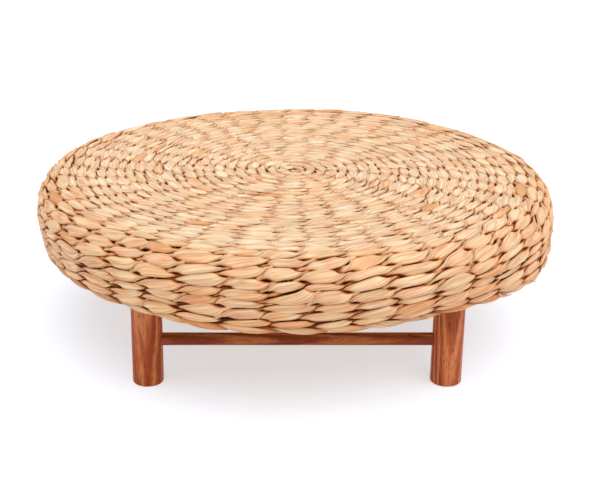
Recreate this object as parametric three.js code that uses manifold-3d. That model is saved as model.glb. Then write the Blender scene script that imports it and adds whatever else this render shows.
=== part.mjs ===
// A low round stool: a flat drum of twined reed on four round wooden legs.
// Millimetres, +Z up, front towards -Y. The origin is on the floor under the middle of the seat.

import * as THREE from 'three';
import { mergeVertices } from 'three/addons/utils/BufferGeometryUtils.js';
import Module from 'manifold-3d';

const wasm = await Module();
wasm.setup();

// Seat drum: its width over the woven rows, the pad that fills it, how far its top falls from the middle
// to the shoulder, and how far its side leans in from its widest place down to the border
const seatWidth = 600;
const padThickness = 42.8;
const crownFall = 2.5;
const sideTuck = 5;
const shoulderRadius = 31;

// Woven rows: their pitch falls evenly from the middle of the top to the bottom edge
const rowThickness = 9.5;
const centrePitch = 13;
const edgePitch = 9.6;
const rowGap = 0.6;
const eyeRadius = 3;
const rowEndWidth = 4;

// Rolled border under the last row, and how far it hangs below the board
const borderDrop = 7.6;
const borderHeight = 6.4;
const borderWidth = 6.5;

// Stakes that the rows are twined on: each main stake starts near the eye, and two side stakes are let in
// beside it further out, fan away from it and then run straight
const stakeWidth = 5;
const stakeThickness = 4;
const mainStakeStart = 17;
const sideStakeTip = 3.6;
const sideStakeInset = 0.3;
const tailLength = 14;

// Cane strip and its tacks that hold the stakes' tails under the board
const stripWidth = 14;
const stripThickness = 1.6;
const stripLap = 2;
const tackHeadDiameter = 6.4;
const tackHeadThickness = 1;
const tackDiameter = 1.8;
const tackLength = 14;
const tackTip = 2.5;

// Wooden frame
const legDiameter = 34;
const legShoulder = 104;
const footChamfer = 2;
const tenonDiameter = 22;
const stretcherDiameter = 14;
const stretcherHeight = 50.5;
const stretcherTenon = 9;
const battenWidth = 42;
const battenThickness = 20;
const battenOverhang = 20;
const battenSetback = 2.37;
const boardThickness = 12;

// Wedges in the tenons
const wedgeTopWidth = 3.2;
const wedgeTipWidth = 1.4;
const wedgeDepth = 13;
const wedgeLength = 20;

// Screws from the battens into the board
const screwHeadDiameter = 8.4;
const screwHeadDepth = 2.9;
const screwDiameter = 4;
const screwLength = 28;
const screwTip = 3;
const driveDiameter = 3.4;
const driveDepth = 1.6;

// Clearances: wood to wood, layer to layer in the seat, and how far a cut runs past a face
const fitGap = 0.3;
const layerGap = 0.4;
const overrun = 2;

// Counts
const seatSides = 24;
const topTurns = 22;
const stakeSets = 14;
const stakesInSet = 3;
const legSides = 20;
const rodSides = 12;
const screwSides = 10;
const tackSides = 8;
const shoulderSteps = 4;

// Shares of the sizes that they follow
const rowFaceShare = 0.6;
const borderFaceShare = 0.5;
const screwPlaceShares = [-0.6, -0.2, 0.2, 0.6];
const stakeTurnShare = 1 / 8;
const firstSideStartShare = 0.34;
const secondSideStartShare = 0.69;
const fanShare = 0.21;

// The drum has flat sides, so its layers are worked out from the distance of a flat side to the axis
const sideAngle = 2 * Math.PI / seatSides;
const cornerFactor = 1 / Math.cos(sideAngle / 2);

// Heights of the frame, from the floor up
const battenBottom = legShoulder + fitGap;
const battenTop = battenBottom + battenThickness;
const boardBottom = battenTop + fitGap;
const boardTop = boardBottom + boardThickness;
const padBottom = boardTop + fitGap;
const borderBottom = boardBottom - borderDrop;

// The row line: the middle of the rows, from the centre of the top over the shoulder and down the side
const layersOverPad = layerGap + stakeThickness + layerGap + rowThickness;
const seatTop = padBottom + padThickness + layersOverPad;
const lineTop = seatTop - rowThickness / 2;
const lineSide = seatWidth / 2 / cornerFactor - rowThickness / 2;
const shoulderPlace = lineSide - shoulderRadius;
const crownAngle = Math.atan2(crownFall, shoulderPlace);
const crownEnd = shoulderPlace + shoulderRadius * Math.sin(crownAngle);
const crownLength = crownEnd / Math.cos(crownAngle);
const shoulderHeight = lineTop - crownEnd * Math.tan(crownAngle) - shoulderRadius * Math.cos(crownAngle);
const sideLean = Math.atan2(sideTuck, shoulderHeight - borderBottom);
const shoulderLength = shoulderRadius * (Math.PI / 2 + sideLean - crownAngle);
const sideStart = crownLength + shoulderLength;
const sideStartFlat = shoulderPlace + shoulderRadius * Math.cos(sideLean);
const sideStartHeight = shoulderHeight - shoulderRadius * Math.sin(sideLean);
const levelHeight = borderBottom + borderHeight + rowGap;
const levelEdge = sideStart + (sideStartHeight - levelHeight) / Math.cos(sideLean);

// Depths of the layers under the row line
const rowUnder = -rowThickness / 2;
const stakeOver = rowUnder - layerGap;
const stakeUnder = stakeOver - stakeThickness;
const padOver = stakeUnder - layerGap;

// A place in the seat: how far along the row line, and how far out from it
function seatPlace(along, out) {
  let normal = crownAngle;
  let flat = along * Math.cos(crownAngle);
  let height = lineTop - along * Math.sin(crownAngle);
  if (along > sideStart) {
    normal = Math.PI / 2 + sideLean;
    flat = sideStartFlat - (along - sideStart) * Math.sin(sideLean);
    height = sideStartHeight - (along - sideStart) * Math.cos(sideLean);
  } else if (along > crownLength) {
    normal = crownAngle + (along - crownLength) / shoulderRadius;
    flat = shoulderPlace + shoulderRadius * Math.sin(normal);
    height = shoulderHeight + shoulderRadius * Math.cos(normal);
  }
  return { flat: flat + out * Math.sin(normal), height: height + out * Math.cos(normal) };
}

// The place in the leaning side that lies at a height
function sidePlace(height, out) {
  const drop = sideStartHeight - out * Math.sin(sideLean) - height;
  return { flat: sideStartFlat + out * Math.cos(sideLean) - drop * Math.tan(sideLean), height };
}

// The board, the stakes' tails and the strip under them; the battens' corners reach almost to the strip
const boardSide = sidePlace(boardBottom, padOver).flat;
const tailOver = boardBottom - layerGap;
const tailUnder = tailOver - stakeThickness;
const tailEnd = boardSide - tailLength;
const stripInner = tailEnd - stripLap;
const legPlace = (stripInner - battenSetback) / Math.SQRT2 - (battenWidth / 2 + battenOverhang) / 2;

// Geometry with shared vertices and no collapsed triangles
function tidy(geometry) {
  geometry.deleteAttribute('normal');
  geometry.deleteAttribute('uv');
  const merged = mergeVertices(geometry);
  const index = merged.index.array;
  const kept = [];
  for (let i = 0; i < index.length; i += 3) {
    const [a, b, c] = index.slice(i, i + 3);
    if (a !== b && b !== c && c !== a) kept.push(a, b, c);
  }
  merged.setIndex(kept);
  return merged;
}

function toSolid(geometry) {
  const body = tidy(geometry);
  const vertProperties = new Float32Array(body.attributes.position.array);
  const triVerts = new Uint32Array(body.index.array);
  return new wasm.Manifold(new wasm.Mesh({ numProp: 3, vertProperties, triVerts }));
}

function toGeometry(solid) {
  const mesh = solid.getMesh();
  const geometry = new THREE.BufferGeometry();
  geometry.setAttribute('position', new THREE.BufferAttribute(new Float32Array(mesh.vertProperties), 3));
  geometry.setIndex(Array.from(mesh.triVerts));
  return geometry;
}

// A body with the given cuts taken out of it
function cut(geometry, cuts) {
  let solid = toSolid(geometry);
  for (const piece of cuts) solid = solid.subtract(toSolid(piece));
  return toGeometry(solid);
}

// A round or many-sided body about the Z axis from an outline of [radius, height] points
function turned(outline, sides) {
  const points = outline.map(([radius, height]) => new THREE.Vector2(radius, height));
  return tidy(new THREE.LatheGeometry(points, sides).rotateX(Math.PI / 2));
}

// A cylinder along Z between two heights
function rod(diameter, low, high, sides) {
  const shape = new THREE.CylinderGeometry(diameter / 2, diameter / 2, high - low, sides);
  return shape.rotateX(Math.PI / 2).translate(0, 0, (low + high) / 2);
}

// A box between two corners
function block(low, high) {
  const size = high.map((value, axis) => value - low[axis]);
  const middle = high.map((value, axis) => (value + low[axis]) / 2);
  return new THREE.BoxGeometry(...size).translate(...middle);
}

// A closed body through rings of the same number of points, with a flat cap at each end
function swept(rings) {
  const sides = rings[0].length;
  const positions = rings.flat().flatMap((point) => point.toArray());
  const index = [];
  for (let ring = 0; ring + 1 < rings.length; ring++) {
    for (let side = 0; side < sides; side++) {
      const a = ring * sides + side;
      const b = ring * sides + (side + 1) % sides;
      index.push(a, a + sides, b, b, a + sides, b + sides);
    }
  }
  const last = (rings.length - 1) * sides;
  for (let side = 1; side + 1 < sides; side++) {
    index.push(0, side, side + 1, last, last + side + 1, last + side);
  }
  const geometry = new THREE.BufferGeometry();
  geometry.setAttribute('position', new THREE.BufferAttribute(new Float32Array(positions), 3));
  geometry.setIndex(index);
  return geometry;
}

const finishes = {
  leg: { color: 0x9f5431, roughness: 0.5, metalness: 0 },
  pale: { color: 0xc79a68, roughness: 0.7, metalness: 0 },
  plywood: { color: 0xd2b184, roughness: 0.75, metalness: 0 },
  reed: { color: 0xe6c496, roughness: 0.75, metalness: 0 },
  stake: { color: 0xcfa873, roughness: 0.8, metalness: 0 },
  straw: { color: 0xc7ab74, roughness: 0.95, metalness: 0 },
  steel: { color: 0xb4b6b8, roughness: 0.35, metalness: 1 },
};

const stool = new THREE.Group();

function twoDigits(number) {
  return String(number).padStart(2, '0');
}

function place(name, geometry, finish) {
  const mesh = new THREE.Mesh(geometry, new THREE.MeshStandardMaterial(finishes[finish]));
  mesh.name = name;
  stool.add(mesh);
  return mesh;
}

// Legs: a turned post with a tenon for the batten, two mortises for the stretchers and a wedge slot

// The tapered outline of a wedge, grown on every side by a clearance, from its tip up to a height
function wedgeBody(clearance, top, length) {
  const tip = battenTop - wedgeDepth;
  const slope = (wedgeTopWidth - wedgeTipWidth) / 2 / wedgeDepth;
  const low = tip - clearance;
  const halfAt = (height) => wedgeTipWidth / 2 + clearance + slope * (height - tip);
  const outline = new THREE.Shape([
    new THREE.Vector2(-halfAt(low), low),
    new THREE.Vector2(halfAt(low), low),
    new THREE.Vector2(halfAt(top), top),
    new THREE.Vector2(-halfAt(top), top),
  ]);
  const body = new THREE.ExtrudeGeometry(outline, { depth: length, bevelEnabled: false });
  body.translate(0, 0, -length / 2);
  return body.applyMatrix4(new THREE.Matrix4().makeBasis(
    new THREE.Vector3(0, 1, 0), new THREE.Vector3(0, 0, 1), new THREE.Vector3(1, 0, 0)));
}

// A rod along X or Y at the height of the stretchers
function crossRod(diameter, from, to, axis) {
  const body = rod(diameter, from, to, rodSides);
  if (axis === 'x') body.rotateY(Math.PI / 2);
  if (axis === 'y') body.rotateX(-Math.PI / 2);
  return body.translate(0, 0, stretcherHeight);
}

function legBody(sideX, sideY) {
  const radius = legDiameter / 2;
  const tenon = tenonDiameter / 2;
  const post = turned([
    [0, 0],
    [radius - footChamfer, 0],
    [radius, footChamfer],
    [radius, legShoulder],
    [tenon, legShoulder],
    [tenon, battenTop],
    [0, battenTop],
  ], legSides);
  const inner = radius - stretcherTenon - fitGap;
  const outer = radius + overrun;
  const mortise = (side, axis) => {
    const [from, to] = side > 0 ? [-outer, -inner] : [inner, outer];
    return crossRod(stretcherDiameter + 2 * fitGap, from, to, axis);
  };
  const slot = wedgeBody(fitGap, battenTop + overrun, tenonDiameter + 2 * overrun);
  return cut(post, [mortise(sideX, 'x'), mortise(sideY, 'y'), slot]);
}

const corners = [
  ['front_left', -1, -1],
  ['front_right', 1, -1],
  ['rear_left', -1, 1],
  ['rear_right', 1, 1],
];

for (const [name, sideX, sideY] of corners) {
  const leg = place(`leg_${name}`, legBody(sideX, sideY), 'leg');
  leg.position.set(sideX * legPlace, sideY * legPlace, 0);
}

// Stretchers: plain round rods that end inside the legs
const stretcherReach = legPlace - legDiameter / 2 + stretcherTenon;
const stretchers = [
  ['front', 'x', 0, -1],
  ['rear', 'x', 0, 1],
  ['left', 'y', -1, 0],
  ['right', 'y', 1, 0],
];

for (const [name, axis, sideX, sideY] of stretchers) {
  const body = tidy(crossRod(stretcherDiameter, -stretcherReach, stretcherReach, axis));
  const stretcher = place(`stretcher_${name}`, body, 'leg');
  stretcher.position.set(sideX * legPlace, sideY * legPlace, 0);
}

// Wedges that spread the tenons in the battens
for (const [name, sideX, sideY] of corners) {
  const wedge = place(`leg_wedge_${name}`, tidy(wedgeBody(0, battenTop, wedgeLength)), 'pale');
  wedge.position.set(sideX * legPlace, sideY * legPlace, 0);
}

// Screws: countersunk, head down in the batten, tip in the board

// The outline of a screw grown on every side by a clearance; a hole has no drive recess
function screwOutline(clearance, isHole) {
  const head = screwHeadDiameter / 2 + clearance;
  const shank = screwDiameter / 2 + clearance;
  const neck = battenBottom + screwHeadDepth;
  const tip = battenBottom + screwLength + clearance;
  const shaft = [[shank, neck], [shank, tip - screwTip], [0, tip]];
  if (isHole) {
    return [[0, battenBottom - overrun], [head, battenBottom - overrun], [head, battenBottom], ...shaft];
  }
  const drive = driveDiameter / 2;
  return [[0, battenBottom + driveDepth], [drive, battenBottom], [head, battenBottom], ...shaft];
}

const screwPlaces = [-1, 1].flatMap((side) => (
  screwPlaceShares.map((share) => [side * legPlace, share * legPlace])));

screwPlaces.forEach(([x, y], number) => {
  const screw = place(`board_screw_${number + 1}`, turned(screwOutline(0, false), screwSides), 'steel');
  screw.position.set(x, y, 0);
});

const screwHoles = screwPlaces.map(([x, y]) => (
  turned(screwOutline(fitGap, true), screwSides).translate(x, y, 0)));

// Battens: one under each side of the board, bored for two leg tenons and four screws
for (const [name, side] of [['left', -1], ['right', 1]]) {
  const halfLength = legPlace + battenOverhang;
  const body = block(
    [side * legPlace - battenWidth / 2, -halfLength, battenBottom],
    [side * legPlace + battenWidth / 2, halfLength, battenTop]);
  const bores = [-1, 1].map((end) => (
    rod(tenonDiameter + 2 * fitGap, battenBottom - overrun, battenTop + overrun, legSides)
      .translate(side * legPlace, end * legPlace, 0)));
  place(`batten_${name}`, cut(body, [...bores, ...screwHoles]), 'pale');
}

// Stakes: flat reeds over the pad, down the flat sides of the drum and in under the board

// A point of a flat side, by its distance from the axis, its sideways place and its height
function onSide(middleAzimuth, flat, sideways, height) {
  return new THREE.Vector3(
    flat * Math.cos(middleAzimuth) - sideways * Math.sin(middleAzimuth),
    flat * Math.sin(middleAzimuth) + sideways * Math.cos(middleAzimuth),
    height);
}

// The side of the drum that an azimuth falls on, as the azimuth of its middle
function sideMiddle(azimuth) {
  return (Math.floor(azimuth / sideAngle) + 1 / 2) * sideAngle;
}

// The four corners of a stake where it faces the pad at one place and the rows at another
function stakeRing(azimuth, width, inner, outer) {
  const middle = sideMiddle(azimuth);
  const slant = Math.tan(azimuth - middle);
  const corner = (at, half) => onSide(middle, at.flat, at.flat * slant + half, at.height);
  const half = width / 2;
  return [corner(inner, -half), corner(outer, -half), corner(outer, half), corner(inner, half)];
}

// A stake that starts at the given places on the top, each [along, azimuth, width], and runs to its tail.
// The inset thins it on both faces, so that its faces lie inside those of the stake that it starts beside.
function stakeBody(starts, inset) {
  const azimuth = starts.at(-1)[1];
  const under = stakeUnder + inset;
  const over = stakeOver - inset;
  const rings = starts.map(([along, startAzimuth, width]) => (
    stakeRing(startAzimuth, width, seatPlace(along, under), seatPlace(along, over))));
  for (let step = 0; step <= shoulderSteps; step++) {
    const along = crownLength + shoulderLength * step / shoulderSteps;
    rings.push(stakeRing(azimuth, stakeWidth, seatPlace(along, under), seatPlace(along, over)));
  }
  const upper = tailOver - inset;
  const lower = tailUnder + inset;
  rings.push(stakeRing(azimuth, stakeWidth, sidePlace(upper, under), sidePlace(lower, over)));
  const tail = [upper, lower].map((height) => ({ flat: tailEnd, height }));
  rings.push(stakeRing(azimuth, stakeWidth, ...tail));
  return swept(rings);
}

const stakeAngle = 2 * Math.PI / stakeSets / stakesInSet;

// Stakes are turned a little so that none lies on a corner between two sides
function stakeAzimuth(number) {
  return (number + stakeTurnShare) * stakeAngle;
}

const sideStakes = [
  [1, firstSideStartShare * crownLength],
  [-1, secondSideStartShare * crownLength],
];
const fanLength = fanShare * crownLength;

for (let set = 0; set < stakeSets; set++) {
  const number = set * stakesInSet + 1;
  const azimuth = stakeAzimuth(number);
  let solid = toSolid(stakeBody([[mainStakeStart, azimuth, stakeWidth]], 0));
  for (const [step, start] of sideStakes) {
    const tip = [start, azimuth, sideStakeTip];
    const fanned = [start + fanLength, stakeAzimuth(number + step), stakeWidth];
    solid = solid.add(toSolid(stakeBody([tip, fanned], sideStakeInset)));
  }
  place(`stake_set_${twoDigits(set + 1)}`, toGeometry(solid), 'stake');
}

// Strip: a flat cane ring under the tails, tacked up to the board between the sets of stakes
const stripTop = tailUnder - layerGap;
const stripBottom = stripTop - stripThickness;
const stripOutline = [
  [stripInner, stripBottom],
  [stripInner + stripWidth, stripBottom],
  [stripInner + stripWidth, stripTop],
  [stripInner, stripTop],
  [stripInner, stripBottom],
].map(([flat, height]) => [flat * cornerFactor, height]);

const tackHeadTop = stripBottom - fitGap;
const tackHeadBottom = tackHeadTop - tackHeadThickness;
const tackEnd = tackHeadBottom + tackLength;
const tackOutline = [
  [0, tackHeadBottom],
  [tackHeadDiameter / 2, tackHeadBottom],
  [tackHeadDiameter / 2, tackHeadTop],
  [tackDiameter / 2, tackHeadTop],
  [tackDiameter / 2, tackEnd - tackTip],
  [0, tackEnd],
];
const tackHoleOutline = [
  [0, stripBottom - overrun],
  [tackDiameter / 2 + fitGap, stripBottom - overrun],
  [tackDiameter / 2 + fitGap, tackEnd - tackTip],
  [0, tackEnd + fitGap],
];
const tackHoles = [];

for (let set = 0; set < stakeSets; set++) {
  const azimuth = stakeAzimuth((set + 1) * stakesInSet - 1 / 2);
  const middle = sideMiddle(azimuth);
  const flat = stripInner + stripWidth / 2;
  const spot = onSide(middle, flat, flat * Math.tan(azimuth - middle), 0);
  const tack = place(`strip_tack_${twoDigits(set + 1)}`, turned(tackOutline, tackSides), 'steel');
  tack.position.copy(spot);
  tackHoles.push(turned(tackHoleOutline, tackSides).translate(spot.x, spot.y, 0));
}

place('tail_strip', cut(turned(stripOutline, seatSides), tackHoles), 'stake');

// Seat board: a many-sided disc with blind holes for the screws and the tacks
const boardOutline = [
  [0, boardBottom],
  [boardSide * cornerFactor, boardBottom],
  [boardSide * cornerFactor, boardTop],
  [0, boardTop],
];
place('seat_board', cut(turned(boardOutline, seatSides), [...screwHoles, ...tackHoles]), 'plywood');

// Pad: stuffed straw, flat below, with a rounded shoulder and a slight crown
const padOutline = [[0, padBottom], [sidePlace(padBottom, padOver).flat * cornerFactor, padBottom]];
for (let step = shoulderSteps; step >= 0; step--) {
  const at = seatPlace(crownLength + shoulderLength * step / shoulderSteps, padOver);
  padOutline.push([at.flat * cornerFactor, at.height]);
}
padOutline.push([0, lineTop + padOver]);
place('straw_pad', turned(padOutline, seatSides), 'straw');

// Rows: one strand wound from the eye of the top to the level bottom edge of the side
const rowTurns = 2 * (levelEdge - eyeRadius) / (centrePitch + edgePitch);

function outerEdge(turn) {
  const fall = (centrePitch - edgePitch) / rowTurns / 2;
  return Math.min(eyeRadius + centrePitch * turn - fall * turn ** 2, levelEdge);
}

function innerEdge(turn) {
  return outerEdge(Math.max(turn - 1, 0)) + rowGap;
}

// The six corners of a row where the strand crosses a corner of the drum
function rowRing(step) {
  const turn = step / seatSides;
  const inner = innerEdge(turn);
  const outer = outerEdge(turn);
  const middle = (inner + outer) / 2;
  const half = (outer - inner) / 2 * rowFaceShare;
  const azimuth = step * sideAngle + Math.PI / 2;
  const places = [
    seatPlace(inner, 0),
    seatPlace(middle - half, -rowThickness / 2),
    seatPlace(middle + half, -rowThickness / 2),
    seatPlace(outer, 0),
    seatPlace(middle + half, rowThickness / 2),
    seatPlace(middle - half, rowThickness / 2),
  ];
  return places.map(({ flat, height }) => new THREE.Vector3(
    flat * cornerFactor * Math.cos(azimuth), flat * cornerFactor * Math.sin(azimuth), height));
}

// The ring part of the way between two rings
function between(from, to, share) {
  return from.map((point, corner) => point.clone().lerp(to[corner], share));
}

const rowRings = [];
let rowStep = Math.ceil(seatSides * (rowEndWidth + rowGap) / centrePitch);
const topSteps = topTurns * seatSides - rowStep;
while (outerEdge(rowStep / seatSides) - innerEdge(rowStep / seatSides) >= rowEndWidth) {
  rowRings.push(rowRing(rowStep));
  rowStep += 1;
}

const topRings = rowRings.slice(0, topSteps + 1);
const sideRings = rowRings.slice(topSteps);
sideRings[0] = between(sideRings[0], sideRings[1], rowGap / sideRings[0][0].distanceTo(sideRings[1][0]));

// The least gap of a wound strand to its next turn, on the corners and half way along each side
function leastGap(rings) {
  const points = rings.slice(1).flatMap((ring, number) => (
    [rings[number], between(rings[number], ring, 1 / 2)]));
  let least = Infinity;
  for (let at = 0; at + 2 * seatSides < points.length; at++) {
    for (const point of points[at]) {
      for (const other of points[at + 2 * seatSides]) least = Math.min(least, point.distanceTo(other));
    }
  }
  return least;
}

for (const [name, rings] of [['top_weave', topRings], ['side_weave', sideRings]]) {
  place(name, swept(rings), 'reed');
  const turns = (rings.length - 1) / seatSides;
  console.log(`${name}: ${turns.toFixed(2)} turns, least gap to itself ${leastGap(rings).toFixed(2)} mm`);
}

// Border: the rolled edge that lies under the last row, against the bend of the stakes
const borderTop = borderBottom + borderHeight;
const borderHalfHeight = (borderBottom + borderTop) / 2;
const borderInner = sidePlace(tailUnder, stakeOver).flat + layerGap;
const borderMiddle = borderInner + borderWidth / 2;
const borderFace = borderWidth / 2 * borderFaceShare;
const borderOutline = [
  [borderMiddle - borderFace, borderBottom],
  [borderMiddle + borderFace, borderBottom],
  [borderInner + borderWidth, borderHalfHeight],
  [borderMiddle + borderFace, borderTop],
  [borderMiddle - borderFace, borderTop],
  [borderInner, borderHalfHeight],
  [borderMiddle - borderFace, borderBottom],
].map(([flat, height]) => [flat * cornerFactor, height]);
place('bottom_border', turned(borderOutline, seatSides), 'stake');

export default stool;
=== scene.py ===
"""The looks of a low round woven stool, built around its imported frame.

A drum-shaped seat is twined from flat dried reed in one spiral over radial stakes. It sits on four turned
legs of red-brown stained wood, which stretchers join near the floor. Everything is in metres, +Z up, with
the origin on the floor under the middle of the seat. Lengths in the classes are in millimetres, unless
their words say otherwise, and are turned to metres with MM.
"""

import logging
import math
from collections.abc import Callable
from dataclasses import dataclass, field, fields
from enum import Enum
from functools import partial

import bmesh
import bpy
import numpy as np
from bpy.types import ID, Material, Mesh, Node, NodeOutputs, NodeSocket, NodeTree, Object
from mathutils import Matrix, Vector


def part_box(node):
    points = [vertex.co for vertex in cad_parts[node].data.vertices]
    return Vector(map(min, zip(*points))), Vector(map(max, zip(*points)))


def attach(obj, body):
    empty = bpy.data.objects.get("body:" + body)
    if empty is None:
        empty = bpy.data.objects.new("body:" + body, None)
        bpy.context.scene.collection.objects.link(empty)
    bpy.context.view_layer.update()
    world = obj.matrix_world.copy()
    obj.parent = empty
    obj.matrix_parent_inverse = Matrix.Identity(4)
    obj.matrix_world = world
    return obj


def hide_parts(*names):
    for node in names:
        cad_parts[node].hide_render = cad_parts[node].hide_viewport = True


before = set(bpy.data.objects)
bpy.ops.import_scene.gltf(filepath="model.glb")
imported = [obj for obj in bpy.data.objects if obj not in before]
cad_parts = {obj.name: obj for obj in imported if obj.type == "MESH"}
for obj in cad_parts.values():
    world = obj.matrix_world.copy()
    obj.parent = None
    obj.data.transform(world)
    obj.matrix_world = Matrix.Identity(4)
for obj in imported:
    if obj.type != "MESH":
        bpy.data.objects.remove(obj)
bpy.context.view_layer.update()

MM = 0.001
ROOT = "root"
LOG = logging.getLogger("stool")
# The period in metres of a wave pattern of scale 1
WAVE_PERIOD = 0.314
UPWARDS = np.array([0.0, 0.0, 1.0])

Outline = list[tuple[float, float]]
Curve = tuple[tuple[float, float], ...]
Triple = tuple[float, float, float]
Range = tuple[float, float]
Boxes = dict[str, tuple[Vector, Vector]]
Links = dict[str | int, object] | list[object]
Array = np.ndarray
Many = Array | float
Adder = Callable[..., Node]


class Slot(Enum):
    """The record's material slots."""

    LEG_WOOD = "leg_wood"
    BATTEN_WOOD = "batten_wood"
    PLYWOOD = "plywood"
    STRAW = "straw"
    STAKE_REED = "stake_reed"
    BORDER_REED = "border_reed"
    WOVEN_REED = "woven_reed"
    STEEL = "steel"


class Grain(Enum):
    """Which way the wood's fibres run, as the turn that brings that direction upright."""

    UPRIGHT = (0.0, 0.0, 0.0)
    SIDEWAYS = (0.0, math.radians(90.0), 0.0)
    FRONT_TO_BACK = (math.radians(90.0), 0.0, 0.0)


class Kind(Enum):
    """The kinds of node, in shaders and in geometry."""

    ATTRIBUTE = "ShaderNodeAttribute"
    BACKGROUND = "ShaderNodeBackground"
    BUMP = "ShaderNodeBump"
    COMBINE = "ShaderNodeCombineXYZ"
    COORDINATES = "ShaderNodeTexCoord"
    LIGHT_PATH = "ShaderNodeLightPath"
    MAPPING = "ShaderNodeMapping"
    MATH = "ShaderNodeMath"
    MIX = "ShaderNodeMix"
    MIX_SHADER = "ShaderNodeMixShader"
    NOISE = "ShaderNodeTexNoise"
    NORMAL = "ShaderNodeNewGeometry"
    RAMP = "ShaderNodeValToRGB"
    RANGE = "ShaderNodeMapRange"
    SEPARATE = "ShaderNodeSeparateXYZ"
    VECTOR = "ShaderNodeVectorMath"
    WAVE = "ShaderNodeTexWave"
    WORLD = "ShaderNodeOutputWorld"
    CIRCLE = "GeometryNodeCurvePrimitiveCircle"
    CURVE_TO_MESH = "GeometryNodeCurveToMesh"
    GIVEN = "NodeGroupInput"
    INDEX = "GeometryNodeInputIndex"
    INSTANCES = "GeometryNodeInstanceOnPoints"
    MATERIAL = "GeometryNodeSetMaterial"
    MESH_TO_CURVE = "GeometryNodeMeshToCurve"
    MESH_TO_POINTS = "GeometryNodeMeshToPoints"
    OBJECT = "GeometryNodeObjectInfo"
    POSITION = "GeometryNodeSetPosition"
    RANDOM = "FunctionNodeRandomValue"
    READ = "GeometryNodeInputNamedAttribute"
    REALIZE = "GeometryNodeRealizeInstances"
    RESULT = "NodeGroupOutput"
    SMOOTH = "GeometryNodeSetShadeSmooth"
    STORE = "GeometryNodeStoreNamedAttribute"


class Input(Enum):
    """The kinds of input that a Geometry Nodes tree has."""

    GEOMETRY = "NodeSocketGeometry"
    OBJECT = "NodeSocketObject"
    MATERIAL = "NodeSocketMaterial"
    NUMBER = "NodeSocketFloat"
    COUNT = "NodeSocketInt"


# Nodes and colours


def linear(colour: str, alpha: float = 1.0) -> tuple[float, float, float, float]:
    """Turn an sRGB hex colour into linear light.

    Args:
        colour: six hex digits, such as "e9c79a".
        alpha: the fourth value.

    Returns:
        Red, green, blue and alpha.
    """
    parts = [int(colour[i:i + 2], 16) / 255 for i in (0, 2, 4)]
    red, green, blue = [p / 12.92 if p <= 0.04045 else ((p + 0.055) / 1.055) ** 2.4 for p in parts]
    return red, green, blue, alpha


def set_inputs(tree: NodeTree, node: Node, links: Links) -> None:
    """Give a node its values and links.

    Args:
        tree: the node tree that holds the node.
        node: the node.
        links: for each input, in order or by name or number, a value, a socket, or a node whose first output
            is used.
    """
    for key, value in links.items() if isinstance(links, dict) else enumerate(links):
        socket = node.inputs[key] if isinstance(key, int) else next(
            s for s in node.inputs if s.enabled and s.name == key)
        if isinstance(value, Node):
            value = next(s for s in value.outputs if s.enabled)
        if isinstance(value, NodeSocket):
            tree.links.new(value, socket)
        else:
            socket.default_value = value


def add_node(tree: NodeTree, kind: Kind, links: Links | None = None, **settings: object) -> Node:
    """Add one node with its settings, values and links.

    Args:
        tree: the node tree that gets the node.
        kind: the kind of node.
        links: its inputs, as set_inputs takes them.
        settings: the node's own properties.

    Returns:
        The new node.
    """
    node = tree.nodes.new(kind.value)
    for name, value in settings.items():
        setattr(node, name, value)
    set_inputs(tree, node, links or {})
    return node


def set_ramp(node: Node, stops: list[tuple[float, str]]) -> None:
    """Give a colour ramp its stops.

    Args:
        node: the colour ramp.
        stops: places from 0 to 1 with their sRGB hex colours, in order.
    """
    ramp = node.color_ramp
    while len(ramp.elements) < len(stops):
        ramp.elements.new(0.5)
    for element, (place, colour) in zip(ramp.elements, stops):
        element.position = place
        element.color = linear(colour)


def spread_stops(colours: tuple[str, ...], low: float = 0.0, high: float = 1.0) -> list[tuple[float, str]]:
    """Spread sRGB hex colours evenly over a stretch of a ramp, as its stops."""
    return [(low + (high - low) * i / (len(colours) - 1), colour) for i, colour in enumerate(colours)]


def fine_grain(add: Adder, place: object, sizes: Triple, **inputs: float) -> Node:
    """Add a noise at a place, whose grains have real sizes in millimetres along the three axes."""
    grains = add(Kind.VECTOR, [place, [1 / (size * MM) for size in sizes]], operation="MULTIPLY")
    return add(Kind.NOISE, {"Vector": grains, "Scale": 1.0, **inputs})


def valleys(add: Adder, noise: Node, spread: float, **settings: object) -> Node:
    """Add thin lines along the places where a noise passes its middle, as lengthwise folds do.

    Args:
        add: the function that adds a node.
        noise: the noise.
        spread: how far from its middle the noise may be.
        settings: properties of the node that shapes the lines' flanks.

    Returns:
        A node with 1 in the middle of a line and 0 beside it.
    """
    from_middle = add(Kind.MATH, [noise, 0.5], operation="SUBTRACT")
    distance = add(Kind.MATH, [from_middle], operation="ABSOLUTE")
    return add(Kind.RANGE, {"Value": distance, "From Max": spread, "To Min": 1.0, "To Max": 0.0}, **settings)


def new_material(name: str) -> tuple[Material, Adder, Callable[[Links], None]]:
    """Start a node material.

    Args:
        name: the material's name.

    Returns:
        The material, the function that adds a node to it, and the one that gives its surface its inputs.
    """
    material = bpy.data.materials.new(name)
    material.use_nodes = True
    tree = material.node_tree
    return material, partial(add_node, tree), partial(set_inputs, tree, tree.nodes["Principled BSDF"])


def new_group(name: str, inputs: dict[str, Input]) -> tuple[NodeTree, Adder, NodeOutputs]:
    """Start a Geometry Nodes tree.

    Args:
        name: the tree's name.
        inputs: its inputs by name.

    Returns:
        The tree, the function that adds a node to it, and the sockets of its inputs by name.
    """
    tree = bpy.data.node_groups.new(name, "GeometryNodeTree")
    for label, kind in inputs.items():
        tree.interface.new_socket(label, in_out="INPUT", socket_type=kind.value)
    tree.interface.new_socket("Made", in_out="OUTPUT", socket_type=Input.GEOMETRY.value)
    return tree, partial(add_node, tree), add_node(tree, Kind.GIVEN).outputs


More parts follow.
